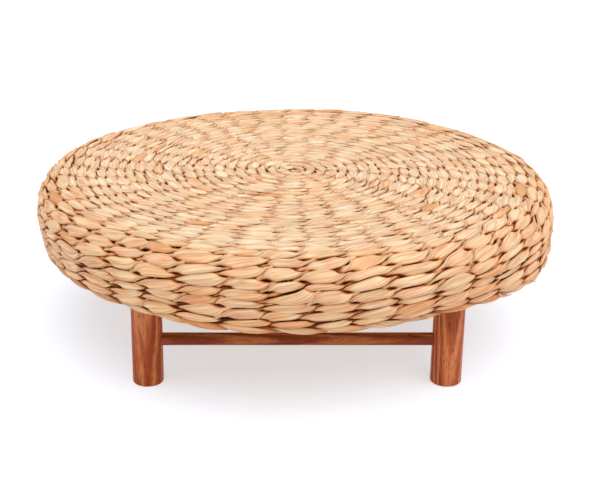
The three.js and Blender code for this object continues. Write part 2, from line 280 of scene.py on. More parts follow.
def end_group(add: Adder, shape: Node, material: NodeSocket) -> None:
    """End a Geometry Nodes tree with a plain mesh of a shape, in its material."""
    realized = add(Kind.REALIZE, {"Geometry": shape})
    add(Kind.RESULT, {"Made": add(Kind.MATERIAL, {"Geometry": realized, "Material": material})})


# Meshes and objects


def new_object(name: str, data: ID) -> Object:
    """Put a mesh, a light or a camera into the scene.

    Args:
        name: the object's name.
        data: what it holds.

    Returns:
        The object, at the origin.
    """
    piece = bpy.data.objects.new(name, data)
    bpy.context.scene.collection.objects.link(piece)
    return piece


def mesh_of(name: str, body: bmesh.types.BMesh) -> Mesh:
    """Turn a body that was worked on into a mesh, and free it.

    Args:
        name: the mesh's name.
        body: the body.

    Returns:
        The mesh.
    """
    mesh = bpy.data.meshes.new(name)
    body.to_mesh(mesh)
    body.free()
    return mesh


def smooth_by_angle(mesh: Mesh, degrees: float = 35.0) -> None:
    """Shade a mesh smooth, with its sharper edges kept.

    Args:
        mesh: the mesh.
        degrees: the turn from which an edge counts as sharp.
    """
    for polygon in mesh.polygons:
        polygon.use_smooth = True
    mesh.set_sharp_from_angle(angle=math.radians(degrees))


def rounded(corners: Outline, ease: float, steps: int = 4) -> Outline:
    """Round the inner corners of an open outline.

    Args:
        corners: the outline's points, whose first and last stay as they are.
        ease: how far from a corner its rounding starts.
        steps: how many stretches each rounding has.

    Returns:
        The outline with rounded corners.
    """
    points = [corners[0]]
    for before, corner, after in zip(corners, corners[1:], corners[2:]):
        at = Vector(corner)
        start = at + (Vector(before) - at).normalized() * ease
        end = at + (Vector(after) - at).normalized() * ease
        for step in range(steps + 1):
            share = step / steps
            middle = start.lerp(at, share).lerp(at.lerp(end, share), share)
            points.append((middle.x, middle.y))
    return points + [corners[-1]]


def turned_mesh(name: str, outline: Outline, segments: int) -> Mesh:
    """Turn an outline about the Z axis.

    Args:
        name: the mesh's name.
        outline: points of radius and height, from the axis out and back to it.
        segments: how many stretches there are round the axis.

    Returns:
        A closed mesh.
    """
    body = bmesh.new()
    rings = []
    for radius, height in outline:
        if radius == 0:
            rings.append([body.verts.new((0, 0, height))])
            continue
        angles = [2 * math.pi * i / segments for i in range(segments)]
        rings.append([body.verts.new((radius * math.cos(a), radius * math.sin(a), height)) for a in angles])
    for lower, upper in zip(rings, rings[1:]):
        for i in range(segments):
            j = (i + 1) % segments
            corners = [ring[k % len(ring)] for ring, k in ((lower, i), (lower, j), (upper, j), (upper, i))]
            body.faces.new(list(dict.fromkeys(corners)))
    bmesh.ops.recalc_face_normals(body, faces=body.faces)
    return mesh_of(name, body)


def applied(piece: Object) -> Object:
    """Replace a piece's modifiers by the mesh that they make.

    Args:
        piece: the object with its modifiers.

    Returns:
        The same object with a plain mesh.
    """
    graph = bpy.context.evaluated_depsgraph_get()
    result = bpy.data.meshes.new_from_object(piece.evaluated_get(graph), depsgraph=graph)
    result.name = piece.name
    piece.modifiers.clear()
    piece.data = result
    return piece


def made_by(tree: NodeTree, piece: Object, values: dict[str, object]) -> Object:
    """Run a Geometry Nodes tree on a piece and keep the plain mesh that it makes.

    Args:
        tree: the tree.
        piece: the object that it works on.
        values: the tree's inputs by name.

    Returns:
        The same object with the new mesh.
    """
    modifier = piece.modifiers.new(tree.name, "NODES")
    modifier.node_group = tree
    for item in tree.interface.items_tree:
        if item.in_out == "INPUT" and item.name in values:
            modifier[item.identifier] = values[item.name]
    return applied(piece)


def finished(piece: Object, slot: Slot, material: Material | None, *nodes: str) -> None:
    """Hang a finished piece on the frame.

    Args:
        piece: the piece.
        slot: the slot of its finish. Not used.
        material: its material, or None where the mesh already has one.
        nodes: the frame's nodes that it stands for.
    """
    if material is not None:
        piece.data.materials.clear()
        piece.data.materials.append(material)
    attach(piece, ROOT)
    if nodes:
        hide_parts(*nodes)
    LOG.info("%s: %d faces", piece.name, len(piece.data.polygons))


def dress_mesh(mesh: Mesh, slot: Slot, material: Material, *nodes: str) -> None:
    """Shade a mesh smooth and hang it on the frame, as finished does, under its own name."""
    smooth_by_angle(mesh)
    finished(new_object(mesh.name, mesh), slot, material, *nodes)


# Numbers and places


def smooth_step(share: Array) -> Array:
    """Ease a share from 0 to 1 in and out."""
    held = np.clip(share, 0.0, 1.0)
    return held * held * (3 - 2 * held)


def wandering(places: Array, spacing: float, seed: int) -> Array:
    """Smooth random values along a line, with a spread of about 1.

    Args:
        places: where the values are wanted.
        spacing: the distance between the random values.
        seed: the seed of the random values.

    Returns:
        One value for each place.
    """
    scaled = places / spacing
    low = np.floor(scaled).astype(int)
    first = int(low.min())
    values = np.random.default_rng(seed).standard_normal(int(low.max()) - first + 2)
    share = smooth_step(scaled - low)
    return values[low - first] * (1 - share) + values[low - first + 1] * share


def read_off(curve: Curve, share: Array) -> Array:
    """Read a line of straight stretches, given as points of share and value, at many shares."""
    return np.interp(share, *zip(*curve))


def round_axis(radius: Many, azimuth: Array, height: Array) -> Array:
    """Make points or directions from their reach off the axis, their azimuth in radians and their height."""
    return np.stack([radius * np.cos(azimuth), radius * np.sin(azimuth), height], axis=-1)


# Finishes


@dataclass(frozen=True)
class ReedFinish:
    """Flat leaf reed, cut green and dried in the sun: dull satin straw with lengthwise fibres and folds."""

    name: str
    tints: tuple[str, ...]  # sRGB colours that the strands are spread over
    # The painted shade that multiplies grooves between strands and stretches of reed hidden behind others,
    # from a groove's rim to its floor
    shades: tuple[tuple[float, str], ...] = (
        (0.0, "ffffff"), (0.35, "efc79c"), (0.62, "a9672f"), (1.0, "4a1f07"))
    streak: str = "d79a62"  # the colour of the darker fibres
    crease: str = "a86a38"
    # The leaf's redder edge, which also stands in as painted shade along the grooves
    edge: str = "c07a44"
    girth: float = 4.0  # the radius on which the pattern is wound round the reed, as the sweep has it
    edge_share: float = 0.82  # where an edge begins, as a share of the girth
    fibre_width: float = 0.9  # width of one fibre, drawn about twice as coarse as it is so that it shows
    fibre_length: float = 38.0
    fold_width: float = 2.7  # width between two lengthwise folds
    fold_spread: float = 0.075  # how far a fold spreads over them, as a share of the noise that it follows
    blotch: Triple = (11.111, 11.111, 62.5)  # the width, depth and length of a blotch
    blotch_shift: float = 0.16  # how far a blotch moves the tint either way
    streak_part: float = 0.5  # how much of the streaks' colour shows
    crease_part: float = 0.36  # how much of the creases' painted shade shows
    edge_part: float = 0.22  # how much of the edges' colour shows, partly the leaf's own and partly painted shade
    roughness: float = 0.6
    uneven_roughness: float = 0.14  # how far it strays either way
    gloss: float = 0.32
    fold_depth: float = 0.5
    fibre_depth: float = 0.3  # the depth between two fibres

    def material(self) -> Material:
        """Build the material from the strand's own attributes.

        Returns:
            The material.
        """
        material, add, dress = new_material(self.name)
        reed = add(Kind.ATTRIBUTE, attribute_name="reed").outputs["Vector"]
        tint = add(Kind.ATTRIBUTE, attribute_name="tint").outputs["Fac"]
        tuck = add(Kind.ATTRIBUTE, attribute_name="tuck").outputs["Fac"]
        fibre_sizes = (self.fibre_width, self.fibre_width, self.fibre_length)
        fibres = fine_grain(add, reed, fibre_sizes, Detail=3.0, Roughness=0.6)
        fold_sizes = (self.fold_width, self.fold_width, 2 * self.fibre_length)
        folds = fine_grain(add, reed, fold_sizes, Detail=1.0)
        creases = valleys(add, folds, self.fold_spread, interpolation_type="SMOOTHSTEP")

        # The tint, shifted by blotches, and over it the fibres and the painted shade in the folds
        blotches = fine_grain(add, reed, self.blotch, Detail=2.0)
        shifted = add(Kind.RANGE, {"Value": blotches, "From Min": 0.3, "From Max": 0.7,
                                   "To Min": -self.blotch_shift, "To Max": self.blotch_shift})
        colour = add(Kind.RAMP, {"Fac": add(Kind.MATH, [tint, shifted], operation="ADD")})
        set_ramp(colour, spread_stops(self.tints))
        lined = add(Kind.RANGE, {"Value": fibres, "From Min": 0.38, "From Max": 0.68, "To Min": 0.0,
                                 "To Max": self.streak_part})
        streaked = add(Kind.MIX, {"Factor": lined, "A": colour, "B": linear(self.streak)}, data_type="RGBA")
        # Painted shade: the fold valleys are darkened with the crease colour
        creased_share = add(Kind.MATH, [creases, self.crease_part], operation="MULTIPLY")
        creased = add(Kind.MIX, {"Factor": creased_share, "A": streaked, "B": linear(self.crease)},
                      data_type="RGBA")

        # The thin edges of the leaf dry to a redder brown than its flat side, and that darker edge also
        # paints shade along the grooves between strands
        side = add(Kind.SEPARATE, {"Vector": reed}).outputs["X"]
        from_axis = add(Kind.MATH, [side], operation="ABSOLUTE")
        edge = add(Kind.RANGE, {"Value": from_axis, "From Min": self.edge_share * self.girth * MM,
                                "From Max": self.girth * MM, "To Max": self.edge_part})
        edged = add(Kind.MIX, {"Factor": edge, "A": creased, "B": linear(self.edge)}, data_type="RGBA")
        # Painted shade: the ramp darkens the grooves between strands, the stretches hidden behind others and
        # the side
        shade = add(Kind.RAMP, {"Fac": tuck})
        set_ramp(shade, list(self.shades))
        dark = add(Kind.MIX, {"Factor": 1.0, "A": edged, "B": shade}, data_type="RGBA", blend_type="MULTIPLY")

        rough = add(Kind.RANGE, {"Value": fibres, "To Min": self.roughness - self.uneven_roughness,
                                 "To Max": self.roughness + self.uneven_roughness})
        low = add(Kind.MATH, [creases, -1.0], operation="MULTIPLY")
        folded = add(Kind.BUMP, {"Strength": 0.8, "Distance": self.fold_depth * MM, "Height": low})
        fibred = add(Kind.BUMP, {"Strength": 0.7, "Distance": self.fibre_depth * MM, "Height": fibres,
                                 "Normal": folded})
        dress({"Base Color": dark, "Roughness": rough, "Specular IOR Level": self.gloss, "Normal": fibred})
        return material


@dataclass(frozen=True)
class WoodFinish:
    """Planed or turned hardwood under a stain: growth rings cut through as streaks and arches, fine pores."""

    name: str
    tones: tuple[str, ...]  # sRGB colours from late wood, dark, to early wood, light
    pore: str
    ring_width: float = 7.5
    heart: float = 600.0  # how far away the middle of the tree was
    lean: Triple = (0.05, 0.035, 0.0)  # how far the tree's axis leans from the piece, in radians
    bend: Triple = (38.462, 38.462, 222.22)  # the sizes of the bends in the rings
    sway: float = 22.0  # how far a bend carries a ring
    streak: Triple = (2.3256, 2.3256, 71.429)  # the width, depth and length of a fine streak
    streak_part: float = 0.62  # how much the streaks count beside the rings
    tone_range: Range = (0.34, 0.66)  # the stretch of that mixture that the tones are spread over
    pore_width: float = 0.8  # one pore, drawn about four times as coarse as it is so that it shows
    pore_length: float = 11.2
    pore_part: float = 0.75  # how much of the pores' colour shows
    roughness: float = 0.48
    smoother: float = 0.08  # how much smoother the closest wood is
    rougher: float = 0.16  # how much rougher the most open wood is
    gloss: float = 0.22
    coat: float = 0.05  # how much clear lacquer lies over the wood
    coat_roughness: float = 0.3
    pore_depth: float = 0.2  # the depth of a pore

    def material(self, grain: Grain) -> Material:
        """Build the material for one direction of the fibres.

        Args:
            grain: which way the fibres run.

        Returns:
            The material.
        """
        material, add, dress = new_material(f"{self.name}_{grain.name.lower()}")
        place = add(Kind.COORDINATES).outputs["Object"]
        upright = add(Kind.MAPPING, {"Vector": place, "Rotation": grain.value})
        # The tree's middle lies well behind, so the front shows one broad ring with narrow ones beside it
        leaned = add(Kind.MAPPING, {"Vector": upright, "Rotation": self.lean,
                                    "Location": (0.0, -self.heart * MM, 0.0)})
        bends = fine_grain(add, leaned, self.bend, Detail=3.0)
        centred = add(Kind.VECTOR, [bends.outputs["Color"], (0.5, 0.5, 0.5)], operation="SUBTRACT")
        swayed = add(Kind.VECTOR, {0: centred, "Scale": self.sway * MM}, operation="SCALE")
        warped = add(Kind.VECTOR, [leaned, swayed], operation="ADD")
        rings = add(Kind.WAVE, {"Vector": warped, "Scale": WAVE_PERIOD / (self.ring_width * MM),
                                "Distortion": 1.5, "Detail": 2.0, "Detail Scale": 0.6},
                    wave_type="RINGS", rings_direction="Z", wave_profile="SIN")
        streaks = fine_grain(add, leaned, self.streak, Detail=4.0, Roughness=0.6)
        mixed = add(Kind.MIX, {"Factor": self.streak_part, "A": rings.outputs["Fac"], "B": streaks},
                    data_type="FLOAT")
        colour = add(Kind.RAMP, {"Fac": mixed})
        set_ramp(colour, spread_stops(self.tones, *self.tone_range))
        pores = fine_grain(add, leaned, (self.pore_width, self.pore_width, self.pore_length), Detail=2.0)
        pore_share = add(Kind.RANGE, {"Value": pores, "From Min": 0.52, "From Max": 0.72,
                                      "To Max": self.pore_part})
        toned = add(Kind.MIX, {"Factor": pore_share, "A": colour, "B": linear(self.pore)}, data_type="RGBA")
        rough = add(Kind.RANGE, {"Value": pores, "To Min": self.roughness - self.smoother,
                                 "To Max": self.roughness + self.rougher})
        dip = add(Kind.MATH, [pore_share, -1.0], operation="MULTIPLY")
        bump = add(Kind.BUMP, {"Strength": 0.35, "Distance": self.pore_depth * MM, "Height": dip})
        dress({"Base Color": toned, "Roughness": rough, "Specular IOR Level": self.gloss,
               "Coat Weight": self.coat, "Coat Roughness": self.coat_roughness, "Normal": bump})
        return material


@dataclass(frozen=True)
class PlywoodFinish:
    """Poplar plywood, sanded and bare: pale broad face grain, and thin plies in turn at the edge."""

    name: str = "poplar_plywood"
    faces: tuple[str, ...] = ("c79b66", "d9b585", "e3c597")  # sRGB colours of the face grain
    face_range: Range = (0.3, 0.7)  # the stretch of the figure that they are spread over
    edge_dark: str = "8f6438"  # the colour of the plies that show their end grain
    ply: float = 1.7
    # The sizes of the face grain's figure across, along and through the board
    figure: Triple = (18.182, 200.0, 18.182)
    roughness: float = 0.72
    depth: float = 0.2  # the depth of the grain

    def material(self) -> Material:
        """Build the material.

        Returns:
            The material.
        """
        material, add, dress = new_material(self.name)
        place = add(Kind.COORDINATES).outputs["Object"]
        figure = fine_grain(add, place, self.figure, Detail=6.0, Distortion=0.8)
        colour = add(Kind.RAMP, {"Fac": figure})
        set_ramp(colour, spread_stops(self.faces, *self.face_range))
        height = add(Kind.SEPARATE, {"Vector": place}).outputs["Z"]
        layers = add(Kind.MATH, [height, math.pi / (self.ply * MM)], operation="MULTIPLY")
        wave = add(Kind.MATH, [layers], operation="SINE")
        dark_ply = add(Kind.MATH, [wave, 0.0], operation="GREATER_THAN")
        # The plies show where the surface stands more upright than flat
        upwards = add(Kind.SEPARATE, {"Vector": add(Kind.NORMAL).outputs["Normal"]}).outputs["Z"]
        flatness = add(Kind.MATH, [upwards], operation="ABSOLUTE")
        edge = add(Kind.MATH, [flatness, 0.5], operation="LESS_THAN")
        share = add(Kind.MATH, [edge, dark_ply], operation="MULTIPLY")
        toned = add(Kind.MIX, {"Factor": share, "A": colour, "B": linear(self.edge_dark)}, data_type="RGBA")
        bump = add(Kind.BUMP, {"Strength": 0.25, "Distance": self.depth * MM, "Height": figure})
        dress({"Base Color": toned, "Roughness": self.roughness, "Normal": bump})
        return material


@dataclass(frozen=True)
class StrawFinish:
    """Loose barley straw pressed into a pad: dull yellow, crossed by short stalks."""

    name: str = "pressed_straw"
    dark: str = "6b4a25"  # the painted shade between the stalks
    light: str = "b58b52"  # the colour of a stalk
    light_range: Range = (0.42, 0.7)  # where the one begins to turn into the other, and where it ends
    stalk: float = 2.6  # width of a stalk, drawn coarser than it is, because little of the straw shows
    stretch: float = 12.5  # how often a stalk's width goes into its length
    flatness: float = 3.3333  # how often it goes into the pad's height
    turns: Range = (0.4, -0.9)  # the two directions in which the stalks lie, in radians
    roughness: float = 0.85
    depth: float = 1.0  # how deep the straw is between two stalks

    def material(self) -> Material:
        """Build the material.

        Returns:
            The material.
        """
        material, add, dress = new_material(self.name)
        place = add(Kind.COORDINATES).outputs["Object"]
        across = 1 / (self.stalk * MM)
        along = across / self.stretch
        through = across / self.flatness
        first, second = (
            add(Kind.NOISE, {"Vector": add(Kind.MAPPING, {"Vector": place, "Rotation": (0.0, 0.0, turn),
                                                          "Scale": scale}), "Scale": 1.0, "Detail": 3.0})
            for turn, scale in zip(self.turns, ((across, along, through), (along, across, through))))
        stalks = add(Kind.MATH, [first, second], operation="MAXIMUM")
        colour = add(Kind.RAMP, {"Fac": stalks})
        set_ramp(colour, spread_stops((self.dark, self.light), *self.light_range))
        bump = add(Kind.BUMP, {"Strength": 0.8, "Distance": self.depth * MM, "Height": stalks})
        dress({"Base Color": colour, "Roughness": self.roughness, "Normal": bump})
        return material


@dataclass(frozen=True)
class SteelFinish:
    """Zinc-plated mild steel, tumbled: a cool grey, softly blurred metal with faint mottling."""

    name: str = "zinc_plated_steel"
    colour: str = "b4b4b0"  # the bright plating's colour
    dull: str = "8b8a84"  # the colour of its duller spots
    spot: float = 1.1111  # the size of a spot
    roughness: Range = (0.28, 0.5)  # the surface's roughness, from the brightest place to the dullest

    def material(self) -> Material:
        """Build the material.

        Returns:
            The material.
        """
        material, add, dress = new_material(self.name)
        place = add(Kind.COORDINATES).outputs["Object"]
        mottle = fine_grain(add, place, (self.spot, self.spot, self.spot), Detail=3.0)
        tone = add(Kind.MIX, {"Factor": mottle, "A": linear(self.colour), "B": linear(self.dull)},
                   data_type="RGBA")
        bright, dull = self.roughness
        rough = add(Kind.RANGE, {"Value": mottle, "To Min": bright, "To Max": dull})
        dress({"Base Color": tone, "Roughness": rough, "Metallic": 1.0})
        return material


WEAVE_REED = ReedFinish(
    name="sun_dried_flat_reed",
    tints=("eab07a", "fbc796", "ffdcb2", "ffe9c3", "ffd0ac", "fff0cf", "ffdcae", "f7bd90"),
)
STAKE_REED = ReedFinish(
    name="split_stake_reed",
    tints=("b98a58", "cfa26c", "c99a6a"),
)
BORDER_REED = ReedFinish(
    name="damp_rolled_border_reed",
    tints=("e99a52", "f0bc88", "f8d3a8", "f5c4a2", "f9dcb2", "efb27c"),
)
CANE = ReedFinish(
    name="flat_rattan_cane",
    tints=("c99f63", "d8b27a"),
    roughness=0.42,
)
STAINED_HARDWOOD = WoodFinish(
    name="red_brown_stained_hardwood",
    tones=("a2481b", "b95a29", "c76735", "da8450"),
    pore="5a2008",
)
# The legs' wood made darker for the stretchers: painted shade, as they lie in the seat's shadow
SHADED_STRETCHER_HARDWOOD = WoodFinish(
    name="deep_stained_stretcher_hardwood",
    tones=("8c3a13", "a04a1e", "b1582a", "c47240"),
    pore="481804",
)
BARE_HARDWOOD = WoodFinish(
    name="planed_bare_beech",
    tones=("b07a42", "d3a368", "e2bc85"),
    pore="9a6636",
    ring_width=5.0,
    roughness=0.62,
    coat=0.0,
)
BOARD_PLYWOOD = PlywoodFinish()
PAD_STRAW = StrawFinish()
PLATED_STEEL = SteelFinish()


# Reeds: paths with a flat section that is swept along them

# What a run stores at each point: directions, sizes, and what the material reads
DIRECTIONS = ("centre", "across", "face", "outward")
SIZES = ("half_width", "half_thickness", "along", "rise", "press")
LOOKS = ("tint", "tuck")
# What the section stores at each of its own points
SECTION = ("width_share", "thickness_share", "turn")


@dataclass
class ReedRun:
    """One length of reed, in metres: its middle line and, at each point of it, what its section needs."""

    centre: Array  # the points of the middle line
    across: Array  # the direction of the section's width at each point
    face: Array  # the direction that the flat side looks to
    half_width: Array
    half_thickness: Array
    along: Array  # the distance along the reed, with an offset of its own so that no two reeds look alike
    tint: Array  # where the reed's colour lies in its finish, from 0 to 1
    tuck: Array  # painted shade: 0 where the reed lies on the surface and 1 where it is hidden and painted darkest
    outward: Array  # the direction out of the seat, for reeds that darken in the grooves between them
    rise: Array  # how far the middle line stands over the place where the painted shade in its grooves begins
    press: Array  # how far over that place the reed has been sat flat

    @staticmethod
    def over(centre: Array, face: Array, half_width: Many, half_thickness: Many, tint: Many, tuck: Many,
             offset: float, outward: Array | None = None, rise: Many = 1.0, press: Many = 1.0) -> "ReedRun":
        """Square a reed's section to its path. A single number counts for every point.

        Args:
            centre: the run's centre.
            face: its face, roughly square to the path.
            half_width: its half width.
            half_thickness: its half thickness.
            tint: its tint.
            tuck: its painted shade.
            offset: the offset of its pattern.
            outward: the direction out of the seat, or None for a reed without grooves.
            rise: its rise.
            press: its press.

        Returns:
            The run.
        """
        if outward is None:
            outward = np.zeros_like(centre)
        tangent = np.gradient(centre, axis=0)
        tangent /= np.linalg.norm(tangent, axis=1, keepdims=True)
        squared = face - tangent * np.sum(face * tangent, axis=1, keepdims=True)
        squared /= np.linalg.norm(squared, axis=1, keepdims=True)
        steps = np.linalg.norm(np.diff(centre, axis=0), axis=1)
        along = np.concatenate([[0.0], np.cumsum(steps)]) + offset
        width, thickness, tints, painted_shades, rises, presses = (
            np.broadcast_to(value, len(centre))
            for value in (half_width, half_thickness, tint, tuck, rise, press))
        return ReedRun(centre, np.cross(squared, tangent), squared, width, thickness, along, tints, painted_shades,
                       outward, rises, presses)

    def part(self, first: int, last: int) -> "ReedRun":
        """Cut out the stretch from one point to another, both included."""
        return ReedRun(*(getattr(self, item.name)[first:last + 1] for item in fields(self)))


@dataclass
class ReedSweep:
    """Geometry Nodes that lay a folded flat section along reed paths."""

    points: int = 20  # points round the section
    bunching: float = 0.32  # how far those points are drawn together on the flat sides, in radians
    squareness: float = 0.74  # 1 for an oval section, and less for a boxier one
    fold_depth: float = 0.42
    fold_width: float = 2.6  # how wide one fold is
    fold_length: float = 42.0  # how long it is
    fold_spread: float = 0.14  # how far its flanks spread, as a share of the noise that it follows
    girth: float = 4.0  # the radius on which the pattern is wound round the reed
    groove_depth: float = 2.4  # how far down the painted shade in a groove between reeds goes before it is darkest
    give: float = 0.3  # what is left of the height of a reed over where it has been sat flat
    seed: int = 7
    tree: NodeTree | None = field(default=None, init=False)  # the node tree, once it is built

    def build_section(self, add: Adder, given: NodeOutputs) -> Node:
        """Add the section: a circle whose points know their place in a flat, boxy oval.

        Args:
            add: the function that adds a node.
            given: the tree's inputs.

        Returns:
            The section's last node.
        """
        section = add(Kind.CIRCLE, {"Resolution": given["Section Points"], "Radius": 1.0}, mode="RADIUS")
        share = add(Kind.MATH, [add(Kind.INDEX), given["Section Points"]], operation="DIVIDE")
        even = add(Kind.MATH, [share, 2 * math.pi], operation="MULTIPLY")
        shifted = add(Kind.MATH, [even], operation="COSINE")
        pull = add(Kind.MATH, [shifted, self.bunching], operation="MULTIPLY")
        turn = add(Kind.MATH, [even, pull], operation="ADD")
        values = [turn]
        for operation in ("SINE", "COSINE"):
            wave = add(Kind.MATH, [turn], operation=operation)
            size = add(Kind.MATH, [wave], operation="ABSOLUTE")
            boxy = add(Kind.MATH, [size, given["Squareness"]], operation="POWER")
            sign = add(Kind.MATH, [wave], operation="SIGN")
            values.insert(0, add(Kind.MATH, [boxy, sign], operation="MULTIPLY"))
        for name, value in zip(SECTION, values):
            section = add(Kind.STORE, {"Geometry": section, "Name": name, "Value": value}, data_type="FLOAT")
        return section

    def build_tree(self) -> NodeTree:
        """Build the node tree once, with its sizes as named inputs.

        Returns:
            The tree.
        """
        if self.tree is not None:
            return self.tree
        sizes = ("Squareness", "Fold Depth", "Fold Width", "Fold Length", "Girth", "Groove Depth", "Give")
        self.tree, add, given = new_group("reed_sweep", {
            "Reeds": Input.GEOMETRY, "Section Points": Input.COUNT, **dict.fromkeys(sizes, Input.NUMBER),
            "Seed": Input.COUNT, "Material": Input.MATERIAL})
        section = self.build_section(add, given)
        paths = add(Kind.MESH_TO_CURVE, {"Mesh": given["Reeds"]})
        swept = add(Kind.CURVE_TO_MESH, {"Curve": paths, "Profile Curve": section, "Fill Caps": True})
        kinds = {**dict.fromkeys(DIRECTIONS, "FLOAT_VECTOR"), **dict.fromkeys(SIZES + SECTION, "FLOAT"),
                 "tuck": "FLOAT"}
        read = {name: add(Kind.READ, {"Name": name}, data_type=kind) for name, kind in kinds.items()}

        # The pattern's place on the reed: wound round it on its girth, and along it
        beside, above = (
            add(Kind.MATH, [add(Kind.MATH, [read["turn"]], operation=operation), given["Girth"]],
                operation="MULTIPLY") for operation in ("COSINE", "SINE"))
        reed = add(Kind.COMBINE, {"X": beside, "Y": above, "Z": read["along"]})
        marked = add(Kind.STORE, {"Geometry": swept, "Name": "reed", "Value": reed}, data_type="FLOAT_VECTOR")

        # Lengthwise folds, which draw the section's points in towards the middle
        fold_size = add(Kind.COMBINE, {"X": given["Fold Width"], "Y": given["Fold Width"],
                                       "Z": given["Fold Length"]})
        place = add(Kind.VECTOR, [reed, fold_size], operation="DIVIDE")
        folds = add(Kind.NOISE, {"Vector": place, "W": given["Seed"], "Scale": 1.0, "Detail": 0.0},
                    noise_dimensions="4D")
        folded = valleys(add, folds, self.fold_spread)
        depth = add(Kind.MATH, [folded, given["Fold Depth"]], operation="MULTIPLY")
        flat = add(Kind.VECTOR, {0: read["across"], "Scale": read["width_share"]}, operation="SCALE")
        high = add(Kind.VECTOR, {0: read["face"], "Scale": read["thickness_share"]}, operation="SCALE")
        from_middle = add(Kind.VECTOR, [flat, high], operation="ADD")
        width = add(Kind.VECTOR, {0: flat, "Scale": read["half_width"]}, operation="SCALE")
        thickness = add(Kind.VECTOR, {0: high, "Scale": read["half_thickness"]}, operation="SCALE")
        drawn_in = add(Kind.VECTOR, {0: from_middle, "Scale": depth}, operation="SCALE")
        beside_line = add(Kind.VECTOR, [read["centre"], width], operation="ADD")
        on_section = add(Kind.VECTOR, [beside_line, thickness], operation="ADD")
        on_reed = add(Kind.VECTOR, [on_section, drawn_in], operation="SUBTRACT")

        # Painted shade: a groove is darkened with its depth
        offset = add(Kind.VECTOR, [width, thickness], operation="ADD")
        beyond = add(Kind.VECTOR, [offset, read["outward"]], operation="DOT_PRODUCT")
        height = add(Kind.MATH, [read["rise"], beyond], operation="ADD")
        fallen = add(Kind.MATH, [height, -1.0], operation="MULTIPLY")
        depth_share = add(Kind.RANGE, {"Value": fallen, "From Max": given["Groove Depth"]})
        darkest = add(Kind.MATH, [depth_share, read["tuck"]], operation="MAXIMUM")
        grooved = add(Kind.STORE, {"Geometry": marked, "Name": "tuck", "Value": darkest}, data_type="FLOAT")

        # What stands over the sat-on height is pressed down
        over = add(Kind.MATH, [height, read["press"]], operation="SUBTRACT")
        proud = add(Kind.MATH, [over, 0.0], operation="MAXIMUM")
        lost = add(Kind.MATH, [1.0, given["Give"]], operation="SUBTRACT")
        fall = add(Kind.MATH, [proud, lost], operation="MULTIPLY")
        down = add(Kind.VECTOR, {0: read["outward"], "Scale": fall}, operation="SCALE")
        pressed = add(Kind.VECTOR, [on_reed, down], operation="SUBTRACT")
        moved = add(Kind.POSITION, {"Geometry": grooved, "Position": pressed})
        end_group(add, add(Kind.SMOOTH, {"Geometry": moved, "Shade Smooth": True}), given["Material"])
        return self.tree

    def sweep(self, name: str, runs: list[ReedRun], material: Material,
              fold_depth: float | None = None, points: int | None = None) -> Object:
        """Make one piece from many lengths of reed.

        Args:
            name: the piece's name.
            runs: the lengths of reed.
            material: the reed's material.
            fold_depth: the folds' depth, where it isn't the usual one.
            points: the points round the section, where it isn't the usual number.

        Returns:
            The piece, as a plain mesh with the attributes that its material reads.
        """
        mesh = bpy.data.meshes.new(name)
        starts = np.cumsum([0] + [len(run.centre) for run in runs])
        mesh.vertices.add(int(starts[-1]))
        mesh.vertices.foreach_set("co", np.concatenate([run.centre for run in runs]).ravel())
        pairs = np.concatenate([np.stack([np.arange(a, b - 1), np.arange(a + 1, b)], axis=1)
                                for a, b in zip(starts, starts[1:])])
        mesh.edges.add(len(pairs))
        mesh.edges.foreach_set("vertices", pairs.ravel())
        for keys, kind, part in ((DIRECTIONS, "FLOAT_VECTOR", "vector"), (SIZES + LOOKS, "FLOAT", "value")):
            for key in keys:
                stored = mesh.attributes.new(key, kind, "POINT")
                stored.data.foreach_set(part, np.concatenate([getattr(run, key) for run in runs]).ravel())
        depth = self.fold_depth if fold_depth is None else fold_depth
        piece = made_by(self.build_tree(), new_object(name, mesh), {
            "Section Points": points or self.points, "Squareness": self.squareness, "Give": self.give,
            "Fold Depth": depth * MM, "Fold Width": self.fold_width * MM,
            "Fold Length": self.fold_length * MM, "Girth": self.girth * MM,
            "Groove Depth": self.groove_depth * MM, "Seed": self.seed, "Material": material})
        for key in DIRECTIONS + SIZES + SECTION:
            piece.data.attributes.remove(piece.data.attributes[key])
        return piece


# The seat's shape, its rows and its stakes


@dataclass(frozen=True)
class Swelling:
    """One place where the hand-stuffed drum is fuller than its plain form."""

    direction: float  # where it is round the seat, in degrees
    half_angle: float  # how far it reaches to each side, in degrees
    drop: float  # how far it lies below the edge of the top, along the line
    reach: float  # how far it reaches up and down
    amount: float  # how far it stands out


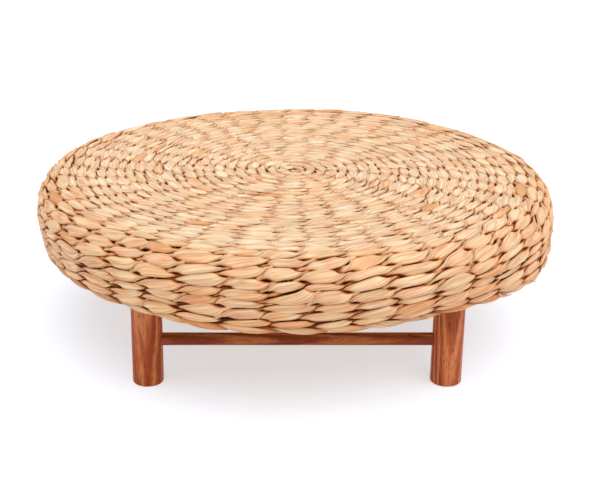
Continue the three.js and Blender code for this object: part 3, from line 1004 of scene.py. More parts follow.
@dataclass
class SeatProfile:
    """The line that the rows follow, from the middle of the top over the shoulder and down the side."""

    # Where the drum is fuller or slacker than that
    swellings: tuple[Swelling, ...] = (
        Swelling(-31.0, 15.0, 92.0, 30.0, 9.0),
        Swelling(-5.0, 14.0, 92.0, 26.0, 2.5),
        Swelling(-60.0, 17.0, 98.0, 22.0, -7.0),
        Swelling(-98.0, 19.0, 98.0, 22.0, 5.5),
        Swelling(-108.0, 8.0, 98.0, 22.0, 3.5),
        Swelling(158.0, 26.0, 26.0, 26.0, 4.0),
        Swelling(62.0, 30.0, 24.0, 26.0, 3.0),
        Swelling(15.0, 14.0, 40.0, 30.0, 2.5),
    )
    crown_fall: float = 2.5  # how much the top falls from its middle to the shoulder
    shoulder_radius: float = 31.0  # the radius of the shoulder along the row line
    side_tuck: float = 5.0  # how far the side draws in towards its bottom
    row_depth: float = 9.5  # the depth of a row of the frame, half of which lies outside the line

    def __post_init__(self) -> None:
        """Take the sizes from the frame and work out the line's stretches."""
        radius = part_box("side_weave")[1].x / MM
        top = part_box("top_weave")[1].z / MM
        self.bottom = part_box("bottom_border")[0].z / MM
        self.line_top = top - self.row_depth / 2
        self.shoulder_place = radius - self.row_depth / 2 - self.shoulder_radius
        self.crown_angle = math.atan2(self.crown_fall, self.shoulder_place)
        crown_end = self.shoulder_place + self.shoulder_radius * math.sin(self.crown_angle)
        self.crown_length = crown_end / math.cos(self.crown_angle)
        self.shoulder_height = (self.line_top - crown_end * math.tan(self.crown_angle)
                                - self.shoulder_radius * math.cos(self.crown_angle))
        self.lean = math.atan2(self.side_tuck, self.shoulder_height - self.bottom)
        shoulder_turn = math.pi / 2 + self.lean - self.crown_angle
        self.side_start = self.crown_length + self.shoulder_radius * shoulder_turn
        self.side_place = self.shoulder_place + self.shoulder_radius * math.cos(self.lean)
        self.side_height = self.shoulder_height - self.shoulder_radius * math.sin(self.lean)

    def along_at(self, height: float) -> float:
        """Find how far along the line the side reaches a height."""
        return self.side_start + (self.side_height - height) / math.cos(self.lean)

    def normal_angle(self, along: Array) -> Array:
        """Find how far the outward direction has turned from straight up."""
        turned = self.crown_angle + (along - self.crown_length) / self.shoulder_radius
        return np.clip(turned, self.crown_angle, math.pi / 2 + self.lean)

    def fullness(self, along: Array, azimuth: Array) -> Array:
        """Add up how far the swellings carry a place outwards.

        Args:
            along: how far along the line.
            azimuth: the direction round the axis, in radians.

        Returns:
            The distance for each place.
        """
        total = np.zeros(np.broadcast(along, azimuth).shape)
        for swelling in self.swellings:
            turned = azimuth - math.radians(swelling.direction)
            sideways = np.degrees(np.abs(np.arctan2(np.sin(turned), np.cos(turned)))) / swelling.half_angle
            down = (along - self.crown_length - swelling.drop) / swelling.reach
            total += swelling.amount * np.exp(-sideways ** 2 - down ** 2)
        return total

    def place(self, along: Array, out: Array,
              azimuth: Array | None = None) -> tuple[Array, Array]:
        """Find a place in the seat.

        Args:
            along: how far along the line.
            out: how far outwards from it.
            azimuth: the direction round the axis in radians, or None for the plain form.

        Returns:
            The radius and the height.
        """
        if azimuth is not None:
            out = out + self.fullness(along, azimuth)
        normal = self.normal_angle(along)
        on_crown = np.minimum(along, self.crown_length)
        down_side = np.maximum(along - self.side_start, 0.0)
        radius = (on_crown * math.cos(self.crown_angle)
                  + self.shoulder_radius * (np.sin(normal) - math.sin(self.crown_angle))
                  - down_side * math.sin(self.lean))
        height = (self.line_top - on_crown * math.sin(self.crown_angle)
                  - self.shoulder_radius * (math.cos(self.crown_angle) - np.cos(normal))
                  - down_side * math.cos(self.lean))
        return radius + out * np.sin(normal), height + out * np.cos(normal)

    def point(self, along: Array, out: Array, azimuth: Array) -> Array:
        """Find places in the seat, as place does, as points in metres."""
        radius, height = self.place(along, out, azimuth)
        return round_axis(radius, azimuth, height) * MM

    def axes(self, along: Array, azimuth: Array) -> tuple[Array, Array]:
        """Find the directions at a place in the seat.

        Args:
            along: how far along the line.
            azimuth: the direction round the axis, in radians.

        Returns:
            The direction outwards, and the one back along the line towards the middle of the top.
        """
        normal = self.normal_angle(along)
        outward = round_axis(np.sin(normal), azimuth, np.cos(normal))
        return outward, round_axis(-np.cos(normal), azimuth, np.sin(normal))


@dataclass
class RowSpiral:
    """The one spiral that all rows belong to. A turn is counted from the seam at the back."""

    profile: SeatProfile
    eye: float = 3.0  # the radius at which the spiral starts
    middle_pitch: float = 13.0  # a row's width at the middle
    edge_pitch: float = 9.6  # a row's width at the bottom
    unevenness: float = 1.7  # how far a row's edge strays from its place
    patch: float = 38.0  # the distance over which it strays
    calm_share: float = 0.25  # the part of that which is left at the middle of the top
    calm_reach: float = 160.0  # how far from the middle it has grown to the whole
    calm_end: float = 12.0  # the distance over which the rows come level at the bottom
    # How far the rows at the front are drawn up over the shoulder, which widens those on it
    front_pull: float = 18.0
    front_share: float = 0.17  # how far round to each side that reaches, in turns
    front_start: float = 32.0  # how far before the edge of the top the wider rows start
    front_reach: float = 72.0  # how far they go from there
    border_height: float = 6.4  # under the last row
    row_gap: float = 0.6
    least_row: float = 4.5  # the narrowest that a row gets
    seam: float = math.pi / 2  # the direction in which the turns begin, in radians
    seed: int = 11

    def __post_init__(self) -> None:
        """Work out where the rows end."""
        self.level = self.profile.along_at(self.profile.bottom + self.border_height + self.row_gap)
        self.turns = (self.level - self.eye) * 2 / (self.middle_pitch + self.edge_pitch)

    def outer(self, turn: Array) -> Array:
        """Find the row's outer edge.

        Args:
            turn: the turns.

        Returns:
            How far along the line the edge lies at each.
        """
        held = np.maximum(turn, 0.0)
        slowing = (self.middle_pitch - self.edge_pitch) / (2 * self.turns)
        even = self.eye + self.middle_pitch * held - slowing * held ** 2
        walked = np.pi * even * held
        stray = self.unevenness * wandering(walked, self.patch, self.seed)
        stray *= smooth_step(even / self.calm_reach) * (1 - self.calm_share) + self.calm_share
        stray *= smooth_step((self.level - even) / self.calm_end)
        from_front = (np.mod(held, 1.0) - 0.5) / self.front_share
        start = self.profile.crown_length - self.front_start
        eased = smooth_step((even - start) / self.front_reach)
        pull = self.front_pull * np.exp(-from_front ** 2) * smooth_step(even / start) * (1 - eased)
        return np.minimum(even - pull + stray * (held > 0), self.level)

    def edges(self, turn: Array) -> tuple[Array, Array]:
        """Find the row's middle and height.

        Args:
            turn: the turns.

        Returns:
            How far along the line its middle lies at each, and how high the row is there.
        """
        low = self.outer(turn)
        high = self.outer(turn - 1)
        height = np.maximum(low - high, self.least_row)
        return low - height / 2, height

    def azimuth(self, turn: Array) -> Array:
        """Turn a count of turns into a direction round the axis."""
        return self.seam + 2 * math.pi * turn


@dataclass
class StakeLayout:
    """Where the stakes run: sets of three, whose two side stakes are let in as the circle widens."""

    sets: int = 14  # how many sets there are
    turn_share: float = 1 / 8  # how far all stakes are turned, as a share of their spacing
    pair_end: float = 40.0  # the radius within which two sets are twined together as one
    first_start: float = 89.0  # where the first side stake of a set starts
    second_start: float = 181.0  # where the second one starts
    start_spread: float = 7.0  # how far a side stake's start strays from there
    # Where a set's stakes start beside the main one, in spacings. They settle at -1, 0 and 1.
    let_in: Triple = (-0.75, 0.0, 1.5)
    settled: float = 240.0  # where all stakes have reached their even spacing
    wander: float = 3.4  # how far a stake strays sideways
    wander_length: float = 34.0  # the distance over which it strays
    wander_radius: float = 60.0  # the radius within which it strays less
    seed: int = 23

    def __post_init__(self) -> None:
        """Work out the spacing and the side stakes' own starts."""
        self.count = self.sets * 3
        self.spacing = 2 * math.pi / self.count
        random = np.random.default_rng(self.seed)
        self.spread = random.uniform(-1.0, 1.0, self.count) * self.start_spread

    def start(self, stake: int) -> float:
        """Find where a stake starts.

        Args:
            stake: the stake's number.

        Returns:
            How far along the line that is.
        """
        starts = (self.second_start, 0.0, self.first_start)
        kind = stake % 3
        return starts[kind] + (self.spread[stake] if kind != 1 else 0.0)

    def azimuth(self, stake: int, along: Array) -> Array:
        """Find a stake's direction round the axis.

        Args:
            stake: the stake's number.
            along: places along the line.

        Returns:
            The direction at each, in radians.
        """
        main = (stake // 3 * 3 + 1 + self.turn_share) * self.spacing
        kind = stake % 3
        share = smooth_step((along - self.start(stake)) / (self.settled - self.start(stake)))
        shift = self.let_in[kind] + (kind - 1 - self.let_in[kind]) * share
        stray = self.wander * wandering(along, self.wander_length, self.seed + 100 + stake)
        return main + shift * self.spacing + stray / np.maximum(along, self.wander_radius)

    def pair_azimuth(self, stake: int) -> float:
        """Find the direction half way between a main stake and the next set's."""
        return (stake + 1.5 + self.turn_share) * self.spacing


@dataclass(frozen=True)
class Relief:
    """How boldly the strands stand out in one part of the seat."""

    sink: float  # how far the strands' common middle lies under the row line
    swing_out: float  # how far a strand swings out of and into the seat
    thickness: float  # a strand's thickness over a stake
    full_share: float  # half of its width over a stake, as a share of the row's height
    gathered_share: float  # half of its width where it crosses the other strand, as the same share
    crossing_share: float  # half of its thickness there, as the same share
    swing_up_share: float  # how far a strand swings up and down, as the same share
    press: float  # the height over the row line at which it has been sat flat
    groove: float  # the height over the row line under which painted shade darkens it

    def blended(self, other: "Relief", share: Array) -> "Relief":
        """Ease this relief into another one, place by place."""
        return Relief(*(getattr(self, item.name) * (1 - share) + getattr(other, item.name) * share
                        for item in fields(self)))


@dataclass(frozen=True)
class Unevenness:
    """How much a strand's passes over the stakes differ, as the spread of their random values."""

    width: float = 0.07  # the width, as a share
    thickness: float = 0.09  # the thickness, as a share
    out: float = 0.38  # the swing out of and into the seat
    up: float = 0.16  # the swing up and down, as a share
    drift: float = 0.3  # the place up and down
    roll: float = 0.10  # the turn of the flat side, in radians
    tone: float = 0.15  # the tint
    leaf_tone: float = 0.13  # the tint of a whole leaf
    leaf_length: float = 0.09  # a leaf's length, in metres on a row of the usual radius
    row_radius: float = 0.2  # that radius, in metres
    lean_from: float = 0.9  # the random value from which a leaf is lean
    leanest: float = 1.2  # how far over it a value may be


@dataclass
class TwinedWeave:
    """The seat's skin: two strands twisted round each other in the spiral, one half turn for each stake."""

    profile: SeatProfile
    spiral: RowSpiral
    stakes: StakeLayout
    sweep: ReedSweep
    # The strands on the top, where the sitter's weight has pressed them flat
    top_relief: Relief = Relief(sink=0.3, swing_out=2.0, thickness=4.4, full_share=0.56, gathered_share=0.31,
                                crossing_share=0.215, swing_up_share=0.215, press=2.75, groove=2.75)
    # The strands on the side
    side_relief: Relief = Relief(sink=1.2, swing_out=2.5, thickness=5.3, full_share=0.55, gathered_share=0.31,
                                 crossing_share=0.22, swing_up_share=0.235, press=4.2, groove=2.6)
    # How far before and after the edge of the top the one eases into the other
    relief_reach: Range = (30.0, 34.0)
    uneven: Unevenness = Unevenness()  # how much one pass over a stake differs from the next
    flatness: float = 0.47  # how long the strand keeps its flat side outwards
    hurry: float = 0.28  # 0 for an even twist, and up to 1 for one that crosses at once between two stakes
    slack: float = 0.11  # how far a stitch strays along the row, as a share of its length
    unbleached: float = 0.14  # how far painted shade darkens the side
    meagreness: float = 0.22  # how much narrower the leaner leaves are, which leave a slit beside them
    # Where a strand's painted shade begins on its way behind a stake, and how fast it grows
    hiding: Range = (-0.3, 1.3)
    front_steps: int = 7  # steps over the shown quarter of a twist
    back_steps: int = 3  # steps over the hidden quarter
    crowding: Range = (1.5, 1.4)  # how closely the steps of either crowd towards its end
    least_stitch: float = 8.0
    first_turn: float = 0.35
    last_turn: float = 0.72  # how far it goes on after the last whole row
    # The turns at which one piece ends and the next starts
    pieces: tuple[float, ...] = (11.5, 17.2, 21.63, 26.0)
    seed: int = 41

    def crossing(self, whole: int, stake: int) -> float | None:
        """Find where a row passes a stake.

        Args:
            whole: the row's number.
            stake: the stake's number.

        Returns:
            The turn, or None where the stake hasn't started or is twined together with its neighbour.
        """
        turn = np.array([whole + 0.5])
        pairs_main = stake % 6 == 1
        for _ in range(4):
            along = self.spiral.edges(turn)[0]
            azimuth = self.stakes.azimuth(stake, along)
            if pairs_main and along[0] < self.stakes.pair_end:
                azimuth = np.array([self.stakes.pair_azimuth(stake)])
            turn = whole + (azimuth - self.spiral.seam) / (2 * math.pi) % 1.0
        along = self.spiral.edges(turn)[0][0]
        hidden = along < self.stakes.start(stake) or (along < self.stakes.pair_end and not pairs_main)
        within = self.first_turn < turn[0] < self.spiral.turns + self.last_turn
        return turn[0] if within and not hidden else None

    def stake_turns(self) -> Array:
        """Find the turns at which the spiral passes the stakes, in order.

        Returns:
            The turn at each crossing of a stake.
        """
        crossings = (self.crossing(whole, stake) for whole in range(int(self.spiral.turns) + 1)
                     for stake in range(self.stakes.count))
        found = np.sort([turn for turn in crossings if turn is not None])
        radius = self.profile.place(self.spiral.edges(found)[0], 0.0)[0]
        gaps = np.diff(found) * 2 * math.pi * radius[1:]
        kept = found[np.concatenate([[True], gaps > self.least_stitch])]
        spread = np.random.default_rng(self.seed + 9).uniform(-self.slack, self.slack, len(kept))
        kept[1:-1] += spread[1:-1] * (kept[2:] - kept[:-2])
        return kept

    def strand(self, turns: Array, which: int) -> tuple[ReedRun, Array]:
        """Lay out one of the two strands over the whole spiral.

        Args:
            turns: the turns at which the spiral passes the stakes.
            which: 0 or 1.

        Returns:
            The run, and for each stake the number of the run's point there.
        """
        front = 0.5 - 0.5 * (1 - np.linspace(0.0, 1.0, self.front_steps + 1)) ** self.crowding[0]
        back = 0.5 + 0.5 * np.linspace(0.0, 1.0, self.back_steps + 1) ** self.crowding[1]
        going_in = np.concatenate([front[:-1], back[:-1]])
        coming_out = np.concatenate([(1 - back)[:0:-1], (1 - front)[:0:-1]])
        stitches = range(len(turns) - 1)
        stake = np.repeat(stitches, len(going_in))
        share = np.concatenate([coming_out if (i + which) % 2 else going_in for i in stitches])
        numbers = np.array(stitches) * len(going_in)
        turn = turns[stake] * (1 - share) + turns[stake + 1] * share
        # The strand lies long over each stake and crosses quickly between two
        hurried = share - self.hurry * np.sin(2 * math.pi * share) / (2 * math.pi)
        phase = math.pi * (stake + hurried + which)
        eased = smooth_step(share)

        # Each pass over a stake differs a little from the next
        random = np.random.default_rng(self.seed + which)
        varied = random.standard_normal((7, len(turns)))
        uneven = self.uneven
        varied[6] = np.clip(varied[6] - uneven.lean_from, 0.0, uneven.leanest)
        varied = varied[:, stake] * (1 - eased) + varied[:, stake + 1] * eased
        wide, thick, out, up, roll, tone, meagre = varied

        middle, height = self.spiral.edges(turn)
        shown = np.abs(np.cos(phase))
        before, after = self.relief_reach
        down = smooth_step((middle - self.profile.crown_length + before) / (before + after))
        relief = self.top_relief.blended(self.side_relief, down)
        swing_out = relief.swing_out + uneven.out * out
        swing_up = relief.swing_up_share * height * (1 + uneven.up * up)
        along = middle - swing_up * np.sin(phase) + uneven.drift * up
        depth = -relief.sink + swing_out * np.cos(phase)
        azimuth = self.spiral.azimuth(turn)
        centre = self.profile.point(along, depth, azimuth)
        outward, back_up = self.profile.axes(along, azimuth)
        facing = phase - self.flatness * np.sin(2 * phase) + uneven.roll * roll
        face = outward * np.cos(facing)[:, None] + back_up * np.sin(facing)[:, None]
        spread = 1 - (1 - shown) ** 3
        gathered = relief.gathered_share * height
        full = relief.full_share * height * (1 + uneven.width * wide - self.meagreness * meagre)
        half_width = (gathered * (1 - spread) + full * spread) * MM
        crossing = relief.crossing_share * height
        over_stake = relief.thickness / 2 * (1 + uneven.thickness * thick)
        half_thickness = (crossing * (1 - shown) + over_stake * shown) * MM
        leaf = wandering(turn * 2 * math.pi * uneven.row_radius, uneven.leaf_length, self.seed + 50 + which)
        tint = np.clip(0.5 + uneven.leaf_tone * leaf + uneven.tone * tone, 0.02, 0.98)
        # Painted shade: the side is darkened a little more than the top, and a strand is darkened on its way
        # behind a stake
        start, growth = self.hiding
        tuck = np.maximum(smooth_step(start - growth * np.cos(phase)), self.unbleached * down)
        run = ReedRun.over(centre, face, half_width, half_thickness, tint, tuck, 20.0 * which, outward,
                           (depth - relief.groove) * MM, (relief.press - relief.groove) * MM)
        return run, numbers

    def start_loop(self) -> ReedRun:
        """Lay the bend that both strands start from across the eye of the spiral.

        Returns:
            The run.
        """
        overlap = 2.0
        rise = 0.6
        fall = 2.6
        heading = (0.8, 0.6)
        half_width = 3.4
        narrowing = 1.2
        half_thickness = 1.3
        share = np.linspace(-1.0, 1.0, 9)
        reach = self.spiral.eye + overlap
        level = self.profile.line_top + rise - fall * share ** 2
        centre = np.stack([*(share * reach * part * MM for part in heading), level * MM], axis=1)
        width = (half_width - narrowing * share ** 2) * MM
        # Its ends, which go under the rows, are darkened by painted shade
        return ReedRun.over(centre, UPWARDS, width, half_thickness * MM, 0.6, 0.5 * np.abs(share) ** 3, 5.0)

    def build(self, material: Material) -> None:
        """Make the weave's pieces and hang them on the frame.

        Args:
            material: the reed's material.
        """
        turns = self.stake_turns()
        strands = [self.strand(turns, which) for which in (0, 1)]
        ends = [0] + [int(np.searchsorted(turns, turn)) for turn in self.pieces] + [len(turns) - 2]
        names = ("top_rows_inner", "top_rows_middle", "top_rows_outer", "shoulder_rows", "side_rows")
        nodes = ("top_weave", "top_weave", "top_weave", "side_weave", "side_weave")
        for name, node, first, last in zip(names, nodes, ends, ends[1:]):
            runs = [] if first else [self.start_loop()]
            for which, (run, numbers) in enumerate(strands):
                # A strand is parted where it lies behind a stake
                start = numbers[first + (first + which + 1) % 2] if first else 0
                stop = numbers[min(last + (last + which + 1) % 2, len(numbers) - 1)]
                runs.append(run.part(start, stop))
            piece = self.sweep.sweep(name, runs, material)
            finished(piece, Slot.WOVEN_REED, None, node)
        LOG.info("%d stitches", len(turns))


@dataclass
class SeatStakes:
    """The stakes inside the rows, whose tails turn in under the board."""

    profile: SeatProfile
    layout: StakeLayout
    sweep: ReedSweep
    half_width: float = 2.6
    tip_half_width: float = 1.2  # half of its width at the middle of the seat
    half_thickness: float = 1.5
    sink: float = 1.9  # how far its middle lies under the row line
    first: float = 4.0  # how far from the middle the first stakes start
    taper: float = 40.0  # the radius within which it narrows towards its tip
    step: float = 7.0  # the distance between two points of it
    tail_bend: float = 4.0  # the radius with which its tail turns in
    tail_height: float = 122.2  # the height at which it does
    bend_steps: int = 5  # the points of the bend, and those of the tail
    tail_short: float = 9.0  # how far before the strip's outer edge the tail ends
    fold_depth: float = 0.25
    seed: int = 5

    def run(self, stake: int, tint: float) -> ReedRun:
        """Lay out one stake.

        Args:
            stake: its number.
            tint: its colour's place.

        Returns:
            The run.
        """
        side_end = self.profile.along_at(self.tail_height + self.tail_bend)
        start = max(self.layout.start(stake), self.first)
        along = np.linspace(start, side_end, int((side_end - start) / self.step))
        azimuth = self.layout.azimuth(stake, along)
        radius, height = self.profile.place(along, np.full_like(along, -self.sink), azimuth)
        normal = self.profile.normal_angle(along)
        # The tail: a quarter bend, and then straight in under the board
        turn = np.linspace(1 / self.bend_steps, 1.0, self.bend_steps) * math.pi / 2
        bend_radius = radius[-1] - self.tail_bend * (1 - np.cos(turn))
        bend_height = height[-1] - self.tail_bend * np.sin(turn)
        tail_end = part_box("tail_strip")[1].x / MM - self.tail_short
        tail = np.linspace(bend_radius[-1] - 3.0, tail_end, self.bend_steps)
        radius = np.concatenate([radius, bend_radius, tail])
        height = np.concatenate([height, bend_height, np.full_like(tail, bend_height[-1])])
        normal = np.concatenate([normal, math.pi / 2 + turn, np.full_like(tail, math.pi)])
        azimuth = np.concatenate([azimuth, np.full(2 * self.bend_steps, azimuth[-1])])
        width = self.tip_half_width + (self.half_width - self.tip_half_width) * smooth_step(
            (radius + self.first) / self.taper)
        centre = round_axis(radius, azimuth, height) * MM
        face = round_axis(np.sin(normal), azimuth, np.cos(normal))
        return ReedRun.over(centre, face, width * MM, self.half_thickness * MM, tint, 0.0, 0.37 * stake)

    def build(self, material: Material) -> None:
        """Make all stakes as one piece.

        Args:
            material: the stakes' material.
        """
        random = np.random.default_rng(self.seed)
        runs = [self.run(stake, random.uniform(0.1, 0.9)) for stake in range(self.layout.count)]
        piece = self.sweep.sweep("seat_stakes", runs, material, self.fold_depth, points=10)
        sets = [f"stake_set_{number + 1:02d}" for number in range(self.layout.sets)]
        finished(piece, Slot.STAKE_REED, None, *sets)


@dataclass
class RolledBorder:
    """The bottom border: each stake's end laid over the next two and rolled in under the edge."""

    profile: SeatProfile
    layout: StakeLayout
    sweep: ReedSweep
    start_share: float = 0.42  # where an end comes out past its stake, in stake spacings
    reach: float = 1.5  # how many stake spacings one end reaches over
    roll: float = 1.7  # the radius that the ends roll round
    rise: float = 1.9  # how much further out they lie in their middle
    half_width: float = 3.9
    half_thickness: float = 1.1
    core: float = 3.0  # half of the thickness of the bundle inside
    core_lift: float = 0.5  # how far the bundle lies over the middle of the border
    # An end's width along its length, as points of share and value
    taper: Curve = ((0.0, 0.4), (0.3, 1.0), (0.7, 1.0), (1.0, 0.55))
    # How far painted shade darkens it where it lies hidden, along its length, as such points
    hidden: Curve = ((0.0, 0.9), (0.2, 0.12), (0.75, 0.12), (1.0, 0.5))
    fold_depth: float = 0.3
    steps: int = 18
    core_steps: int = 180
    seed: int = 61
    level: float = field(init=False)
    ring_radius: float = field(init=False)
    ring_height: float = field(init=False)

    def __post_init__(self) -> None:
        """Take the ring's middle line from the frame."""
        low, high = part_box("bottom_border")
        self.ring_height = (low.z + high.z) / 2 / MM
        self.ring_radius = high.x / MM - self.roll - self.rise - self.half_thickness
        self.level = self.profile.along_at(self.ring_height)

    def fullness(self, azimuth: Array) -> Array:
        """Find how much fuller the drum is at the border, round the axis."""
        return self.profile.fullness(np.full_like(azimuth, self.level), azimuth)

    def core_run(self) -> ReedRun:
        """Lay the bundle inside the border, which the ends roll round.

        Returns:
            The run, once round.
        """
        azimuth = np.linspace(0.0, 2 * math.pi, self.core_steps + 1)
        height = np.full_like(azimuth, self.ring_height + self.core_lift)
        centre = round_axis(self.ring_radius + self.fullness(azimuth), azimuth, height) * MM
        size = self.core * MM
        # The bundle is darkened by painted shade, as it lies hidden under the ends
        return ReedRun.over(centre, round_axis(1.0, azimuth, 0 * azimuth), size, size, 0.3, 0.6, 3.0)

    def end_run(self, stake: int, random: np.random.Generator) -> ReedRun:
        """Lay one stake's end over its neighbours.

        Args:
            stake: the stake's number.
            random: where the strays come from.

        Returns:
            The run.
        """
        share = np.linspace(0.0, 1.0, self.steps)
        start = self.layout.azimuth(stake, np.array([self.level]))[0]
        start += (self.start_share + random.uniform(-0.1, 0.1)) * self.layout.spacing
        azimuth = start + share * (self.reach + random.uniform(-0.15, 0.15)) * self.layout.spacing
        # It comes out from under the last row, slopes down the outside and rolls in under the next one
        last = random.uniform(-60.0, -25.0)
        turn = np.radians(read_off(((0.0, 85.0), (0.45, random.uniform(5.0, 20.0)), (1.0, last)), share))
        roll = self.roll + self.rise * np.sin(math.pi * np.clip(share, 0.0, 0.9)) + random.uniform(-0.2, 0.2)
        radius = self.ring_radius + roll * np.cos(turn) + self.fullness(azimuth)
        height = self.ring_height + roll * np.sin(turn)
        width = self.half_width * random.uniform(0.85, 1.08) * read_off(self.taper, share) * MM
        centre = round_axis(radius, azimuth, height) * MM
        face = round_axis(np.cos(turn), azimuth, np.sin(turn))
        return ReedRun.over(centre, face, width, self.half_thickness * MM, random.uniform(0.03, 0.97),
                            read_off(self.hidden, share), 0.53 * stake)

    def build(self, material: Material) -> None:
        """Make the border as one piece.

        Args:
            material: the border's material.
        """
        random = np.random.default_rng(self.seed)
        runs = [self.core_run(), *(self.end_run(stake, random) for stake in range(self.layout.count))]
        piece = self.sweep.sweep("rolled_border", runs, material, self.fold_depth, points=14)
        finished(piece, Slot.BORDER_REED, None, "bottom_border")


@dataclass(frozen=True)
class StrayEnd:
    """One cut or loose reed end."""

    direction: float  # where it is round the seat, in degrees
    height: float  # its height
    heading: float  # which way it points, in degrees from level, in the face of the side
    length: float  # how long it is
    lift: float  # how far its tip stands off


@dataclass
class StrayEnds:
    """Cut ends at the border and loose bits on the side, as hand twining leaves them."""

    profile: SeatProfile
    sweep: ReedSweep
    # The ends that the photograph shows
    known: tuple[StrayEnd, ...] = (
        StrayEnd(-14.0, 144.0, -70.0, 9.0, 3.0),
        StrayEnd(-17.0, 131.0, -25.0, 8.0, 2.0),
        StrayEnd(-50.0, 121.0, -20.0, 9.0, 2.4),
        StrayEnd(-45.0, 122.0, -35.0, 8.0, 2.6),
        StrayEnd(-43.0, 119.5, 8.0, 10.0, 2.2),
        StrayEnd(-34.0, 123.0, -40.0, 8.0, 2.8),
        StrayEnd(-65.0, 120.0, -15.0, 9.0, 2.2),
    )
    others: int = 9  # how many more there are round the rest of the edge
    half_width: float = 1.2
    narrowing: float = 0.35  # how much of it is lost towards the tip
    half_thickness: float = 0.5
    sink: float = 2.4  # how far its middle lies inside the rows' outer face
    held: float = 0.55  # the part of its length that lies before its place
    fold_depth: float = 0.2
    steps: int = 7
    seed: int = 83

    def run(self, end: StrayEnd, number: int, random: np.random.Generator) -> ReedRun:
        """Lay out one end.

        Args:
            end: the end.
            number: its number.
            random: where its width and tint come from.

        Returns:
            The run.
        """
        share = np.linspace(0.0, 1.0, self.steps)
        heading = math.radians(end.heading)
        reach = (share - self.held) * end.length
        along = self.profile.along_at(end.height) - reach * math.sin(heading)
        radius = self.profile.place(along, np.zeros(self.steps))[0]
        azimuth = math.radians(end.direction) + reach * math.cos(heading) / radius
        out = self.profile.row_depth / 2 - self.sink + end.lift * smooth_step(share)
        width = self.half_width * random.uniform(0.7, 1.15) * (1 - self.narrowing * share) * MM
        centre = self.profile.point(along, out, azimuth)
        face = self.profile.axes(along, azimuth)[0]
        return ReedRun.over(centre, face, width, self.half_thickness * MM, random.uniform(0.1, 0.9), 0.0,
                            0.71 * number)

    def build(self, material: Material) -> None:
        """Make all stray ends as one piece.

        Args:
            material: their material.
        """
        random = np.random.default_rng(self.seed)
        ends = list(self.known)
        for number in range(self.others):
            direction = 360.0 * (number + random.uniform(0.1, 0.9)) / self.others
            heading = random.uniform(-55.0, 25.0)
            height, length, lift = (
                random.uniform(*limits) for limits in ((126.0, 172.0), (6.0, 11.0), (0.4, 1.2)))
            ends.append(StrayEnd(direction, height, heading, length, lift))
        runs = [self.run(end, number, random) for number, end in enumerate(ends)]
        piece = self.sweep.sweep("stray_reed_ends", runs, material, self.fold_depth, points=10)
        finished(piece, Slot.BORDER_REED, None)


@dataclass
class StuffedPad:
    """The straw pad under the rows: crowned, with its sides drawn in and its surface lumpy."""

    profile: SeatProfile
    lump: float = 0.7  # how high its lumps are
    lump_size: float = 26.0  # how wide they are
    segments: int = 120
    under_line: float = 9.6  # how far its top lies under the row line
    under_side: float = 7.0  # how far its side does
    lip_drop: float = 12.0  # how far its straw hangs down past the board's edge
    lip_clear: float = 1.2  # the space between the two
    lip_skin: float = 1.0  # how much of the lip's inner side keeps clear of the board

    def outline(self, bottom: float, inner: float) -> Outline:
        """Draw the pad's outline: in under the drum, over its side and top, and back to the axis.

        Args:
            bottom: the height of its flat underside.
            inner: the radius of the lip's inner side.

        Returns:
            The outline.
        """
        line = self.profile
        lip = bottom - self.lip_drop
        top_end = line.crown_length
        along = np.concatenate([np.linspace(4.0, top_end, 30), np.linspace(top_end, line.side_start, 10)[1:],
                                np.linspace(line.side_start, line.along_at(lip), 9)[1:]])
        down = smooth_step((along - top_end) / (line.side_start - top_end))
        under = self.under_line * (1 - down) + self.under_side * down + self.lump
        radius, height = line.place(along, -under)
        points = [(0.0, bottom), (inner / 2, bottom), (inner, bottom), (inner + 0.4, lip + 1.0)]
        side = zip(radius[::-1].tolist(), height[::-1].tolist())
        points += [(r, h) for r, h in side if r > inner or h > bottom]
        return [*points, (0.0, float(height[0]))]

    def build(self, material: Material) -> None:
        """Make the pad.

        Args:
            material: the straw's material.
        """
        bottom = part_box("straw_pad")[0].z / MM
        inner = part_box("seat_board")[1].x / MM + self.lip_clear
        outline = [(radius * MM, height * MM) for radius, height in self.outline(bottom, inner)]
        piece = new_object("stuffed_pad", turned_mesh("stuffed_pad", outline, self.segments))
        texture = bpy.data.textures.new("straw_lumps", "CLOUDS")
        texture.noise_scale = self.lump_size * MM
        lumps = piece.modifiers.new("lumps", "DISPLACE")
        lumps.texture = texture
        lumps.strength = self.lump * MM
        lumps.mid_level = 0.5
        for vertex in applied(piece).data.vertices:
            reach = math.hypot(vertex.co.x, vertex.co.y)
            if reach > self.profile.shoulder_place * MM:
                azimuth = np.array([math.atan2(vertex.co.y, vertex.co.x)])
                along_side = np.array([self.profile.along_at(vertex.co.z / MM)])
                grown = 1 + self.profile.fullness(along_side, azimuth)[0] * MM / reach
                if reach < (inner + self.lip_skin) * MM:
                    grown = max(grown, 1.0)
                vertex.co.x *= grown
                vertex.co.y *= grown
            if reach < inner * MM:
                vertex.co.z = max(vertex.co.z, bottom * MM)
        smooth_by_angle(piece.data, 60.0)
        finished(piece, Slot.STRAW, material, "straw_pad")


